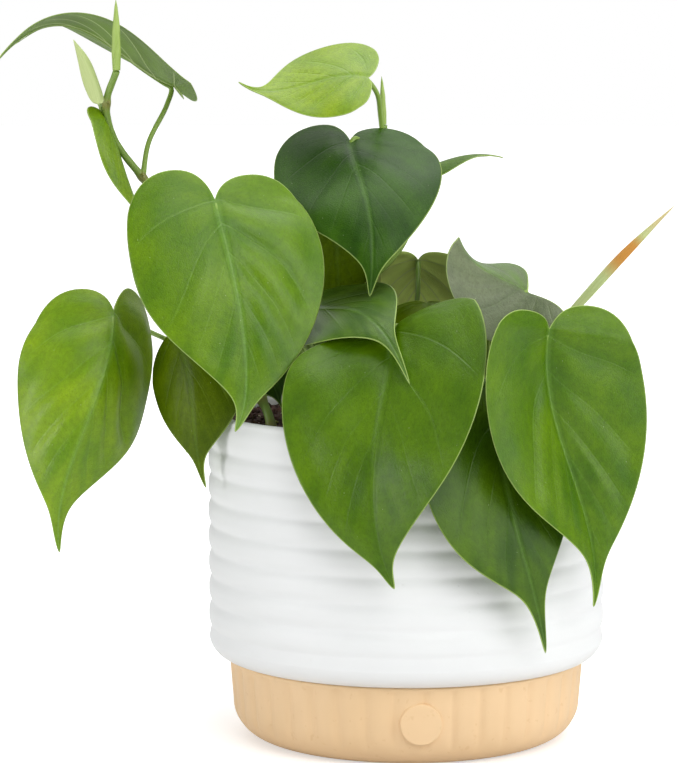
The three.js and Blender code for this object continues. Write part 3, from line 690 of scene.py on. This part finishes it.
def outlineRows(leaf, outline):
    # the margin's places, and where on the midrib each row of the blade starts
    rows = {"x": [], "right": [], "left": [], "rib": []}
    sizes = {"right": leaf["lobe"], "left": leaf.get("leftLobe", leaf["lobe"])}
    none = (0, 0, 0, 0)
    for number, curve in enumerate(outline):
        t = np.linspace(0, 1, curve["rows"] + 1)[(1 if number else 0):]
        rows["x"].append(cubicCurve(curve["across"], t) * leaf["width"] / 2)
        for half, size in sizes.items():
            end = cubicCurve(curve.get("along", none), t) + cubicCurve(curve.get("lobe", none), t) * size
            rows[half].append(end - cubicCurve(curve.get("tail", none), t) * leaf["tail"])
        rows["rib"].append(curve["rib"][0] + (curve["rib"][1] - curve["rib"][0]) * t)
    rows = {key: np.concatenate(parts) for key, parts in rows.items()}
    if len(outline) < 4:
        return rows

    # the corner where the drip tip starts is softened: each row near it moves to its neighbours' mean
    reach = bladeMake["tipBlend"]
    weights = np.hanning(2 * reach + 3)[1:-1]
    corner = len(rows["x"]) - 1 - outline[-1]["rows"]
    near = np.clip(1.4 - np.abs(np.arange(len(rows["x"])) - corner) / (1.6 * reach), 0, 1)
    for key in ("x", "right", "left"):
        padded = np.pad(rows[key], reach, mode="edge")
        rows[key] = rows[key] + near * (np.convolve(padded, weights / weights.sum(), "valid") - rows[key])
    return rows


def bladeShape(leaf, outline, draw, thickness):
    # Two skins over one grid. Its columns are shares of the way from the midrib to the margin, its rows
    # fan out along the outline, and the skins meet at the margin. The sheet is raised between the veins,
    # sunk along the midrib and gently waved.
    place, facing, length = bentSheet(leaf)
    rows = outlineRows(leaf, outline)
    v = np.linspace(-1, 1, bladeMake["columns"])
    share = (v - bladeMake["crowding"] * np.sin(2 * np.pi * v))[None, :]
    onRight = share > 0
    end = np.where(onRight, rows["right"][:, None], rows["left"][:, None])
    x = share * rows["x"][:, None]
    y = rows["rib"][:, None] + np.abs(share) * (end - rows["rib"][:, None])
    halfWidth = leaf["width"] / 2

    shift = draw.uniform(-0.12, 0.12, 2)
    wander = bladeMake["veinWander"] * ripple(x, y * length, draw, bladeMake["wanderLength"])
    phase = veinPhase(x, y, halfWidth) + np.where(onRight, shift[0], shift[1]) + wander
    slopeX = (veinPhase(np.abs(x) + 0.2, y, halfWidth) - veinPhase(np.abs(x), y, halfWidth)) / 0.2
    slopeY = (veinPhase(x, y + 0.002, halfWidth) - veinPhase(x, y, halfWidth)) / (0.002 * length)
    spacing = 1 / np.maximum(np.hypot(slopeX, slopeY), 0.02)

    # distance from the margin: what is left of the row, times how square it meets the margin
    rowX, rowY = rows["x"][:, None], (end - rows["rib"][:, None]) * length
    marginY = end * length
    alongX, alongY = np.gradient(rowX, axis=0), np.gradient(marginY, axis=0)
    square = np.abs(rowX * alongY - rowY * alongX) / np.maximum(np.hypot(alongX, alongY), 1e-9)
    margin = (1 - np.abs(share)) * square

    # heights in mm
    first, count = bladeMake["firstVein"], bladeMake["veinCount"]
    strength = np.interp(first + np.arange(count), bladeMake["veins"], bladeMake["strong"])
    weights = draw.uniform(0.45, 1.0, (2, count)) * strength
    nearest = np.clip(np.rint(phase).astype(int) - first, 0, count - 1)
    crease = np.where(onRight, weights[0][nearest], weights[1][nearest])
    valley = crease * (1 - np.abs(np.sin(np.pi * phase)) ** 0.85)
    depth = np.where(onRight, leaf["quilt"][0], leaf["quilt"][1])
    fade = smoothStep(*bladeMake["ribFade"], np.abs(x)) * smoothStep(*bladeMake["marginFade"], margin)
    fade *= 1 - 0.6 * smoothStep(*bladeMake["tipFade"], y)
    height = depth * (0.35 - valley) * fade
    widest = bladeMake["ribHalf"]
    ribHalf = widest * (1 - np.clip(y, 0, 0.96)) ** 0.7 * min(1.0, leaf["width"] / 60) + 0.15
    height -= bladeMake["ribGroove"] * np.exp(-((x / (1.1 * ribHalf)) ** 2)) * (ribHalf / widest)
    waves = bladeMake["swell"] * halfWidth * ripple(x, y * length, draw, bladeMake["swellLength"])
    height += waves * smoothStep(0, 8, margin) * smoothStep(1, 9, np.abs(x))
    swell = np.sin(2 * np.pi * (1.6 * y + draw.uniform()) + 2.2 * np.where(onRight, 1, 0))
    height += leaf["wave"] * swell * np.abs(share) ** 5 * smoothStep(0.02, 0.2, np.abs(x) / halfWidth)

    up = facing(x, y)
    middle = place(x, y) + up * height[..., None]
    half = thickness / 2 * np.sqrt(np.clip(1 - np.abs(share) ** 24, 0, 1)) * np.ones_like(x)
    half[[0, -1]] = 0
    skins = [middle + side * up * half[..., None] for side in (1, -1)]
    count = x.size
    quads = [gridFaces(*x.shape), gridFaces(*x.shape, first=count, flip=True)]
    flat = np.stack([x, y * length, margin], -1).reshape(-1, 3)
    veins = np.stack([phase, spacing, ribHalf], -1).reshape(-1, 3)
    facts = {
        "bladeFlat": np.vstack([flat, flat]), "bladeVein": np.vstack([veins, veins]),
        "bladeSide": np.repeat([1.0, 0.0], count), "bladeCrease": np.tile(crease.ravel(), 2),
    }
    return np.concatenate([skin.reshape(-1, 3) for skin in skins]), np.concatenate(quads), facts


def stemFacts(stops, sides, knots=None):
    # along in mm, round as the cosine of the angle times 1.2, and how near a knuckle, for each point of a
    # closed tube
    stops = np.concatenate([stops[:1], stops, stops[-1:]])
    knots = np.zeros(len(stops)) if knots is None else np.concatenate([knots[:1], knots, knots[-1:]])
    turn = np.linspace(0, 2 * np.pi, sides, endpoint=False)
    along, around = np.meshgrid(stops, 1.2 * np.cos(turn), indexing="ij")
    return np.stack([along, around, np.broadcast_to(knots[:, None], along.shape)], -1).reshape(-1, 3)


def leafPiece(name, leaf, number):
    draw = np.random.default_rng(100 + number)
    blade, bladeQuads, facts = bladeShape(leaf, heartOutline, draw, bladeMake["thickness"])
    place, facing, length = bentSheet(leaf)

    # the stalk runs from the vine to the notch and on under the blade, where it thins out as the rib's keel
    vine, knuckle = leaf["seat"]
    joint = vines[vine]["points"][knuckle]
    y = np.array(bladeMake["keelStops"])[:, None]
    size = min(1.0, leaf["width"] / 60)
    radius = bladeMake["stalkRadius"] * (0.8 + 0.2 * size)

    def keelRadius(share):
        # thins out fast past the notch, stays fine along the blade and ends in a point
        fine = 0.08
        return fine + (radius - fine) * np.exp(-14 * share) + bladeMake["keel"] * size * share * (1 - share)

    sunk = keelRadius(y) + (bladeMake["ribGroove"] + 0.05) * size * (1 - y) ** 0.7
    under = place(0 * y, y) - facing(0 * y, y) * sunk[..., None]
    route = [joint, *leaf["stalk"], *under[:, 0]]
    path, stops = smoothPath(route, 1.2)
    notch = stops[np.argmin(np.linalg.norm(path - under[0, 0], axis=1))]
    onKeel = np.clip((stops - notch) / (stops[-1] - notch), 0, 1)
    foot = radius * (1 + bladeMake["seatFlare"] * np.exp(-stops / 3))
    radii = np.where(stops < notch, foot, keelRadius(onKeel))
    stalk, stalkQuads = closedTube(path, radii, bladeMake["stalkSides"])
    place3 = stemFacts(stops, bladeMake["stalkSides"])
    stalkFacts = {"bladeVein": np.ones((len(stalk), 3)), "stemPlace": place3}
    facts["stemPlace"] = np.zeros((len(blade), 3))
    for label, values in facts.items():
        blank = np.zeros((len(stalk), *values.shape[1:]))
        facts[label] = np.concatenate([values, stalkFacts.get(label, blank)])
    shapes = [(blade, bladeQuads, 0), (stalk, stalkQuads, 1)]
    # the leaf whose pale underside is painted light shining through gets the stalk skin with painted shade
    stalkSkin = shadedStalkMaterial if leaf["finish"] == "litThroughUnder" else stalkMaterial
    piece = newPiece(f"{name}_leaf", shapes, [leafMaterials[leaf["finish"]], stalkSkin], facts)
    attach(piece, "root")
    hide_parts(f"leaf_{name}")


for number, (name, given) in enumerate(leaves.items()):
    leafPiece(name, {**usualLeaf, **given}, number)
print(len(leaves), "leaves made")


# Vines, with a knuckle wherever a stalk leaves them

vineMake = {
    "sides": 16, "spacing": 0.9, "knuckleSwell": 0.28, "knuckleLength": 2.4, "rootNub": 0.9,
    "tipThinning": 0.12,
}


def vinePiece(name, vine, number):
    # a tube whose radius swells at each knuckle in a bell curve, with a small root nub beside it
    draw = np.random.default_rng(300 + number)
    path, stops = smoothPath(vine["points"], vineMake["spacing"])
    seats = sorted({leaf["seat"][1] for leaf in leaves.values() if leaf["seat"][0] == name})
    spots = np.array([vine["points"][k] for k in seats], float)
    nearest = np.argmin(np.linalg.norm(path[None] - spots[:, None], axis=2), axis=1)
    apart = (stops[None] - stops[nearest][:, None]) / vineMake["knuckleLength"]
    knots = np.exp(-(apart**2)).max(0)
    thinning = vineMake["tipThinning"] * smoothStep(0.5, 1, stops / stops[-1])
    radii = vine["radius"] * (1 + vineMake["knuckleSwell"] * knots - thinning)
    radii *= 1 + 0.02 * np.sin(stops * 0.9 + number)
    points, quads = closedTube(path, radii, vineMake["sides"], 0.02)
    shapes = [(points, quads, 0)]
    facts = [stemFacts(stops, vineMake["sides"], knots)]
    ahead = unit(np.gradient(path, axis=0))
    for spot in nearest:
        out = unit(np.cross(ahead[spot], draw.normal(size=3)))
        nub = path[spot] + out * np.linspace(0.5, vine["radius"] + 1.4, 6)[:, None] + ahead[spot] * 1.2
        size = vineMake["rootNub"] * np.array([1.0, 1.0, 0.95, 0.8, 0.55, 0.2])
        points, quads = closedTube(nub, size, 8)
        shapes.append((points, quads, 0))
        facts.append(stemFacts(np.linspace(0, 2, 6), 8, np.ones(6)))
    piece = newPiece(f"{name}_vine", shapes, [vineMaterial], {"stemPlace": np.vstack(facts)})
    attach(piece, "root")
    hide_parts(f"vine_{name}")


for number, (name, vine) in enumerate(vines.items()):
    vinePiece(name, vine, number)


# Rolled new leaves

spears = {
    "spear_left": {"foot": (-115.9, -6.2, 269.3), "tip": (-115.8, -9, 297.5), "radius": 2.0},
    "spear_centre": {"foot": (-9, 18.9, 247.3), "tip": (-10, 17, 267), "radius": 1.4},
}
spearMake = {"rings": 48, "sides": 28, "step": 0.14, "turns": 0.8}


def spearPiece(name, spear):
    # a spindle whose radius grows once round, so that the leaf's outer edge is a step that winds up it
    foot, tip = np.array(spear["foot"], float), np.array(spear["tip"], float)
    along = tip - foot
    t = np.linspace(0, 1, spearMake["rings"])[:, None]
    body = np.interp(t, [0, 0.25, 0.55, 0.88, 1], [0.8, 1, 0.85, 0.35, 0.02]) * spear["radius"]
    round1 = np.linspace(0, 1, spearMake["sides"])[None, :]
    turn = 2 * np.pi * (round1 + spearMake["turns"] * t)
    ahead = unit(along)
    side = unit(np.cross(ahead, (0, 1, 0)))
    other = np.cross(ahead, side)
    reach = body * (1 - spearMake["step"] * (1 - round1))
    points = foot + along * t[..., None] + reach[..., None] * (
        side * np.cos(turn)[..., None] + other * np.sin(turn)[..., None])
    ends = [np.broadcast_to(points[k].mean(0), points[k].shape)[None] for k in (0, -1)]
    points = np.concatenate([ends[0], points, ends[1]])
    quads = gridFaces(*points.shape[:2], True)
    stops = np.linspace(0, np.linalg.norm(along), len(points))[:, None]
    facts = np.stack(np.broadcast_arrays(stops, 3 * round1, 0 * stops), -1).reshape(-1, 3)
    shape = (points.reshape(-1, 3), quads, 0)
    piece = newPiece(f"{name}_roll", [shape], [spearMaterial], {"stemPlace": facts})
    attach(piece, "root")
    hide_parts(name)


for name, spear in spears.items():
    spearPiece(name, spear)


# Papery sheaths beside the new growth

sheaths = {
    "sheath_left": {
        "base": (-122.6, -6, 256), "tip": (-133, -8, 281.5), "face": (0.5, -0.85, 0.2), "width": 8.5,
        "bow": (0, 0), "sway": (-1.2, -1.2), "fold": (20, 20), "curl": (30, 30), "dry": 0.0,
    },
    "sheath_right": {
        "base": (62.6, -5.8, 169.8), "tip": (107.5, -5, 215.5), "face": (-0.6, -0.6, 0.5), "width": 5.8,
        "bow": (1.5, 1.5), "fold": (20, 20), "curl": (30, 30), "twist": 30, "dry": 1.0,
    },
}
sheathTints = {
    "pale": (196, 206, 150), "green": (160, 180, 104), "dry": (196, 126, 26), "dryTip": (196, 182, 128),
}


def sheathMaterial(name, dry):
    # fibres run lengthwise, and a dry sheath is rusty at its middle and pale at its tip
    material, add = startMaterial(name)
    tint = {key: colour(*value) for key, value in sheathTints.items()}
    x, y = splitParts(add, readFact(add, "bladeFlat", 1), 2)
    fibre = cloud(add, stretch(add, (x, 2.4), (y, 0.08)), 1.0, 3.0)
    tone = blendColours(add, fibre, tint["green"], tint["pale"])
    if dry:
        middle = times(add, rise(add, y, 22.0, 34.0), fall(add, y, 40.0, 48.0))
        tip = rise(add, y, 44.0, 56.0)
        tone = layerColours(add, tone, (middle, 0.9, tint["dry"]), (tip, 1.0, tint["dryTip"]))
    return finishMaterial(material, {
        "Base Color": tone, "Roughness": rise(add, fibre, 0.3, 0.7, 0.5, 0.65),
        "Normal": bumps(add, 0.6, 0.0002, fibre)})


for number, (name, given) in enumerate(sheaths.items()):
    leaf = {**usualLeaf, "lobe": 0, **given, "quilt": (0, 0), "wave": 0.2, "thickness": 0.45}
    draw = np.random.default_rng(500 + number)
    points, quads, facts = bladeShape(leaf, lanceOutline, draw, leaf["thickness"])
    skin = sheathMaterial("drySheathSkin" if leaf["dry"] else "freshSheathSkin", leaf["dry"])
    piece = newPiece(f"{name}_blade", [(points, quads, 0)], [skin], facts)
    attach(piece, "root")
    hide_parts(name)
print("vines, rolled leaves and sheaths made")


# The white pot

pot = {
    "radius": 80.3, "rimHeight": 132.5, "wall": 4.5, "lipRound": 1.9,
    "firstGroove": 45.2, "groovePitch": 10.46, "grooves": 8, "grooveDepth": 1.0,
    "grooveSoft": 0.22,  # share of half a rib over which a groove's bottom is rounded
    "shoulderRound": 9.5, "ledgeHeight": 33.0, "ledgeRadius": 71.8, "footRadius": 65.2,
    "floor": 5.0, "drainRadius": 6.0, "segments": 220, "handmade": 0.1,  # mm out of true
    "white": (234, 235, 235), "shadeWhite": (226, 228, 228), "pore": (190, 188, 182), "rough": 0.46,
}
base = {
    "topRadius": 71.9, "lowRadius": 70.5, "height": 32.6, "edgeRound": 15.0, "wall": 6.0, "floor": 5.4,
    "flutes": 39, "fluteDepth": 1.1, "perFlute": 12,
    "badgeRadius": 8.2, "badgeHeight": 18.3, "badgeTurn": 3.5, "badgeProud": 0.6,
    "tan": (238, 205, 162), "deepTan": (224, 190, 144), "fleck": (206, 164, 112), "rough": 0.52,
}
soil = {
    "edgeHeight": 128.8, "crown": 3.0, "lump": 0.7, "clearance": 0.3,
    "crumbs": 2600, "crumbSize": (0.45, 1.7),
    "dark": (58, 38, 36), "brown": (104, 72, 64), "pale": (196, 182, 170), "paleShare": 0.02,
}
potInner = pot["radius"] - pot["grooveDepth"] - pot["wall"]
footInner = pot["footRadius"] - pot["wall"]
footHeight = base["floor"] + soil["clearance"]
innerLedge = pot["ledgeHeight"] + pot["shoulderRound"]


def ribShape(fromCentre, soft):
    # 0 on a rib's crest and 1 in the groove: the cube of the distance from the crest, its groove rounded
    left = 1 - np.abs(fromCentre)
    left = np.sqrt(left**2 + soft**2) - soft
    return (1 - left / (math.sqrt(1 + soft**2) - soft)) ** 3


def potProfile():
    top = pot["rimHeight"] - pot["lipRound"]
    depth, turn, ledge = pot["grooveDepth"], pot["shoulderRound"], pot["ledgeHeight"]
    shoulder = roundArc(pot["radius"] - turn, ledge + 0.98 * turn, turn, -78, -10, 14)
    starts = pot["firstGroove"] + pot["groovePitch"] * np.arange(pot["grooves"])
    ends = np.append(starts[1:], top)
    share = np.linspace(0, 1, 17)[None, :-1]
    heights = starts[:, None] + share * (ends - starts)[:, None]
    wide = pot["radius"] - depth * ribShape(2 * share - 1, pot["grooveSoft"])
    ribs = np.stack([np.broadcast_to(wide, heights.shape), heights], -1).reshape(-1, 2)
    lip = roundArc(pot["radius"] - depth - pot["lipRound"], top, pot["lipRound"], 0, 180, 12)
    floor, foot, drain = footHeight + pot["floor"], pot["footRadius"], pot["drainRadius"]
    return np.vstack([
        [[drain, footHeight], [foot - 1, footHeight], [foot, footHeight + 1]],
        [[foot, ledge - 0.5], [foot + 0.5, ledge], [pot["ledgeRadius"], ledge]],
        shoulder, ribs, lip,
        [[potInner, innerLedge], [footInner, ledge], [footInner, floor + 2], [footInner - 2, floor]],
        [[drain, floor], [drain, footHeight]]])


def outOfTrue(turn, radius, height):
    # slow waves round the wall, as a thrown pot has, and none on the foot
    size = pot["handmade"] * smoothStep(pot["footRadius"], pot["ledgeRadius"] + 4, radius)
    return size * (np.sin(2 * turn + 0.03 * height) + 0.5 * np.sin(5 * turn - 0.11 * height))


def glazeMaterial():
    material, add = startMaterial("whiteGlaze")
    place = objectPlace(add)
    soft, grain = cloud(add, place, 22.0, 3.0), cloud(add, place, 900.0)
    pores = add("TexVoronoi", {"Vector": place, "Scale": 160.0})
    pore = times(add, fall(add, pores, 0.03, 0.09), rise(add, soft, 0.5, 0.62))
    tone = blendColours(add, soft, colour(*pot["shadeWhite"]), colour(*pot["white"]))
    height = calculate(add, "SUBTRACT", weigh(add, grain, 0.12, soft, 1.2), times(add, pore, 0.3))
    return finishMaterial(material, {
        "Base Color": layerColours(add, tone, (pore, 0.12, colour(*pot["pore"]))),
        "Roughness": rise(add, soft, 0.3, 0.7, pot["rough"] - 0.04, pot["rough"] + 0.06),
        "Normal": bumps(add, 0.35, 0.0006, height)})


points, quads = turnedShape(potProfile(), pot["segments"], outOfTrue)
potPiece = newPiece("white_pot", [(points, quads, 0)], [glazeMaterial()])
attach(potPiece, "root")
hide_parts("pot")


# The tan base

def baseProfile():
    round1, high = base["edgeRound"], base["height"]
    edge = roundArc(base["lowRadius"] - round1, round1, round1, -90, 0, 22)
    rise1 = np.linspace(0, 1, 14)[1:, None]
    wall = edge[-1] + rise1 * (np.array([base["topRadius"], high - 0.8]) - edge[-1])
    lip = roundArc(base["topRadius"] - 0.8, high - 0.8, 0.8, 20, 90, 4)
    inner = base["topRadius"] - base["wall"]
    return np.vstack([
        [[0, 0], [30, 0]], edge, wall, lip,
        [[inner + 0.6, high], [inner, high - 0.6], [inner, base["floor"] + 2], [inner - 2, base["floor"]]],
        [[30, base["floor"]], [0, base["floor"]]]])


def fluteBend(turn, radius, height):
    # soft upright ribs between narrow grooves, which fade out under the lip and round the bottom edge
    fromCrest = 2 * np.abs((turn * base["flutes"] / (2 * np.pi) + 0.5) % 1 - 0.5)
    outside = smoothStep(base["lowRadius"] - 6, base["lowRadius"] - 0.5, radius)
    top = base["height"]
    level = smoothStep(3, 12, height) * (1 - smoothStep(top - 2.4, top - 1.0, height))
    return -base["fluteDepth"] * ribShape(fromCrest, 0.1) * outside * level


def badgeShape():
    # a flat round disc with a rounded edge, standing a little proud of the front
    size, proud = base["badgeRadius"], base["badgeProud"]
    reach = base["lowRadius"] + 0.5 * (base["topRadius"] - base["lowRadius"]) + proud
    edge = roundArc(size - 0.7, reach - 0.7, 0.7, 0, 90, 8)
    profile = np.vstack([[[0, reach - 3], [size, reach - 3]], edge, [[size * 0.5, reach], [0, reach]]])
    points, quads = turnedShape(profile, 72)
    turn = math.radians(base["badgeTurn"])
    outward = np.array([math.sin(turn), -math.cos(turn), 0])
    sideways = np.array([math.cos(turn), math.sin(turn), 0])
    upright = np.array([0, 0, 1])
    placed = points[:, :1] * sideways + points[:, 1:2] * upright + points[:, 2:] * outward
    return placed + upright * base["badgeHeight"], quads


def tanMaterial():
    material, add = startMaterial("tanGlaze")
    place = objectPlace(add)
    soft, grain = cloud(add, place, 26.0, 4.0), cloud(add, place, 700.0, 3.0)
    flecks = rise(add, cloud(add, place, 300.0), 0.64, 0.74, 0.0, 0.25)
    tone = blendColours(add, soft, colour(*base["deepTan"]), colour(*base["tan"]))
    return finishMaterial(material, {
        "Base Color": blendColours(add, flecks, tone, colour(*base["fleck"])),
        "Roughness": rise(add, soft, 0.3, 0.7, base["rough"] - 0.05, base["rough"] + 0.05),
        "Normal": bumps(add, 0.35, 0.0005, weigh(add, grain, 0.2, soft, 1.0))})


points, quads = turnedShape(baseProfile(), base["flutes"] * base["perFlute"], fluteBend)
badge, badgeQuads = badgeShape()
basePiece = newPiece("tan_base", [(points, quads, 0), (badge, badgeQuads, 0)], [tanMaterial()])
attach(basePiece, "root")
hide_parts("base")
print("pot and base made")


# Potting soil

def soilTop(x, y, reach):
    # a low crown with lumps that die out at the wall
    share = np.hypot(x, y) / reach
    inward = np.clip((reach - np.hypot(x, y)) / 10, 0, 1)
    lumps = soil["lump"] * inward * np.sin(0.31 * x + 1) * np.cos(0.27 * y + 2)
    return soil["edgeHeight"] + soil["crown"] * (1 - share**2) + lumps


def soilBody(draw):
    # a turned plug that fills the pot, its top rings lifted to the lumpy surface with fine grain
    wide, narrow = potInner - soil["clearance"], footInner - soil["clearance"]
    gap = soil["clearance"]
    low = footHeight + pot["floor"] + gap
    rings = np.linspace(wide, 0, 46)
    wall = [[0, low], [narrow, low], [narrow, pot["ledgeHeight"] + gap], [wide, innerLedge + gap]]
    profile = np.vstack([wall, np.stack([rings, np.full(len(rings), soil["edgeHeight"])], 1)])
    points, quads = turnedShape(profile, 128)
    onTop = points[:, 2] >= soil["edgeHeight"]
    x, y = points[onTop, 0], points[onTop, 1]
    inward = np.clip((wide - np.hypot(x, y)) / 3, 0, 1)
    grain = 0.35 * ripple(x, y, draw, 4.5, 7) + 0.3 * ripple(x, y, draw, 9, 5)
    points[onTop, 2] = soilTop(x, y, wide) + inward * grain
    return points, quads


def soilCrumbs(draw):
    # many small icosahedra, each stretched, turned and set half into the surface
    golden = (1 + 5**0.5) / 2
    corners = np.array([
        (-1, golden, 0), (1, golden, 0), (-1, -golden, 0), (1, -golden, 0),
        (0, -1, golden), (0, 1, golden), (0, -1, -golden), (0, 1, -golden),
        (golden, 0, -1), (golden, 0, 1), (-golden, 0, -1), (-golden, 0, 1)])
    faces = np.array([
        (0, 11, 5), (0, 5, 1), (0, 1, 7), (0, 7, 10), (0, 10, 11), (1, 5, 9), (5, 11, 4), (11, 10, 2),
        (10, 7, 6), (7, 1, 8), (3, 9, 4), (3, 4, 2), (3, 2, 6), (3, 6, 8), (3, 8, 9), (4, 9, 5), (2, 4, 11),
        (6, 2, 10), (8, 6, 7), (9, 8, 1)])
    count = soil["crumbs"]
    reach = potInner - soil["clearance"]
    away = (reach - 1.6) * np.sqrt(draw.uniform(0, 1, count))
    turn = draw.uniform(0, 2 * np.pi, count)
    x, y = away * np.cos(turn), away * np.sin(turn)
    small, large = soil["crumbSize"]
    size = small + (large - small) * draw.uniform(0, 1, count) ** 3
    stretch = draw.uniform(0.55, 1.0, (count, 3))
    jitter = draw.uniform(0.75, 1.2, (count, 12, 1))
    spin = np.linalg.qr(draw.normal(size=(count, 3, 3)))[0]
    local = unit(corners)[None] * jitter * stretch[:, None] * size[:, None, None]
    points = np.einsum("nij,nkj->nki", spin, local)
    centre = np.stack([x, y, soilTop(x, y, reach) + 0.25 * size + draw.uniform(-0.3, 0.3, count)], 1)
    tone = np.where(draw.uniform(0, 1, count) < soil["paleShare"], 2.0, draw.uniform(0, 1, count))
    allFaces = (faces[None] + 12 * np.arange(count)[:, None, None]).reshape(-1, 3)
    return (points + centre[:, None]).reshape(-1, 3), allFaces, np.repeat(tone, 12)


def soilMaterial():
    material, add = startMaterial("pottingSoil")
    tone = readFact(add, "crumbTone")
    grit = cloud(add, objectPlace(add), 900.0, 4.0, 0.7)
    mixed = weigh(add, tone, 0.6, grit, 0.5)
    earth = blendColours(add, rise(add, mixed, 0.2, 0.9), colour(*soil["dark"]), colour(*soil["brown"]))
    return finishMaterial(material, {
        "Base Color": blendColours(add, rise(add, tone, 1.4, 1.6), earth, colour(*soil["pale"])),
        "Roughness": rise(add, grit, 0.3, 0.7, 0.8, 0.98),
        "Normal": bumps(add, 0.9, 0.0005, grit)})


soilDraw = np.random.default_rng(71)
body, bodyQuads = soilBody(soilDraw)
crumbs, crumbFaces, crumbTone = soilCrumbs(soilDraw)
crumbFaces = np.concatenate([crumbFaces, crumbFaces[:, -1:]], 1)
print("soil worked out")


def soilPiece():
    tones = {"crumbTone": np.full(len(body), 0.3)}
    piece = newPiece("potting_soil", [(body, bodyQuads, 0)], [soilMaterial()], tones)
    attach(piece, "root")
    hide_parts("soil")
    mesh = bpy.data.meshes.new("soil_crumbs")
    mesh.from_pydata(crumbs * mm, [], crumbFaces[:, :3].tolist(), shade_flat=True)
    layer = mesh.attributes.new("crumbTone", "FLOAT", "POINT")
    layer.data.foreach_set("value", crumbTone.astype(np.float32))
    mesh.materials.append(piece.data.materials[0])
    grains = bpy.data.objects.new("soil_crumbs", mesh)
    bpy.context.scene.collection.objects.link(grains)
    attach(grains, "root")


soilPiece()
print("soil made")


# Studio: a plain pale floor, soft lights and a white surround

studio = {
    "floorSize": 14.0, "floorRings": (5.0, 2.5, 1.2, 0.6, 0.3), "floorSides": 96,
    "floorWhite": (226, 226, 226), "floorBounce": 0.12,
    "surround": {"low": 0.1, "high": 0.36, "behind": 0.45},
    "aim": (-0.02, 0, 0.15),
    "lights": {
        "overhead": {"place": (0.1, 0.1, 1.5), "size": 1.4, "watts": 16.0},
        "front": {"place": (0.6, -1.6, 1.35), "size": 1.3, "watts": 19.0},
        "right": {"place": (1.6, -0.9, 0.6), "size": 1.0, "watts": 11.5},
        "left": {"place": (-1.6, -0.7, 0.35), "size": 0.65, "watts": 9.0},
    },
}


def studioFloor():
    # a disc that turns from a plain matt white near the pot to an even glow far off, at the picture's end
    rings = np.array([studio["floorSize"], *studio["floorRings"], 0])
    points, quads = turnedShape(np.stack([rings, 0 * rings], 1) / mm, studio["floorSides"])
    material, add = startMaterial("paleFloor")
    away = add("VectorMath", {0: objectPlace(add)}, 1, operation="LENGTH")
    seen = calculate(add, "MAXIMUM", add("LightPath", {}, 0), studio["floorBounce"])
    mottle = (cloud(add, objectPlace(add), 3.0), 0.03, (0.8, 0.8, 0.8, 1.0))
    finishMaterial(material, {
        "Base Color": layerColours(add, colour(*studio["floorWhite"]), mottle),
        "Emission Strength": times(add, rise(add, away, 0.1, 1.4, 0.5, 1.0), seen),
        "Emission Color": (1, 1, 1, 1), "Roughness": 0.7, "Specular IOR Level": 0.1})
    newPiece("studio_floor", [(points, quads, 0)], [material])


def studioLights():
    for name, light in studio["lights"].items():
        data = bpy.data.lights.new(name, "AREA")
        data.shape = "SQUARE"
        data.size = light["size"]
        data.energy = light["watts"]
        lamp = bpy.data.objects.new(name, data)
        lamp.location = light["place"]
        toPlant = Vector(studio["aim"]) - lamp.location
        lamp.rotation_euler = toPlant.to_track_quat("-Z", "Y").to_euler()
        bpy.context.scene.collection.objects.link(lamp)


def studioSurround():
    # bright overhead and behind, dim towards the front, and plain white where it is the background
    world = bpy.data.worlds.new("surround")
    world.use_nodes = True
    tree = world.node_tree
    add = nodeAdder(tree)
    glow = studio["surround"]
    y, z = splitParts(add, add("TexCoord", {}, 0))[1:]
    above = rise(add, z, -0.1, 0.8, glow["low"], glow["high"])
    dome = calculate(add, "ADD", above, rise(add, y, 0.0, 0.8, 0.0, glow["behind"]))
    strength = calculate(add, "MAXIMUM", add("LightPath", {}, 0), dome)
    fillInputs(tree, tree.nodes["Background"], {"Color": (1, 1, 1, 1), "Strength": strength})
    bpy.context.scene.world = world


studioFloor()
studioLights()
studioSurround()
bpy.context.scene.view_settings.view_transform = "Standard"
print("studio set")
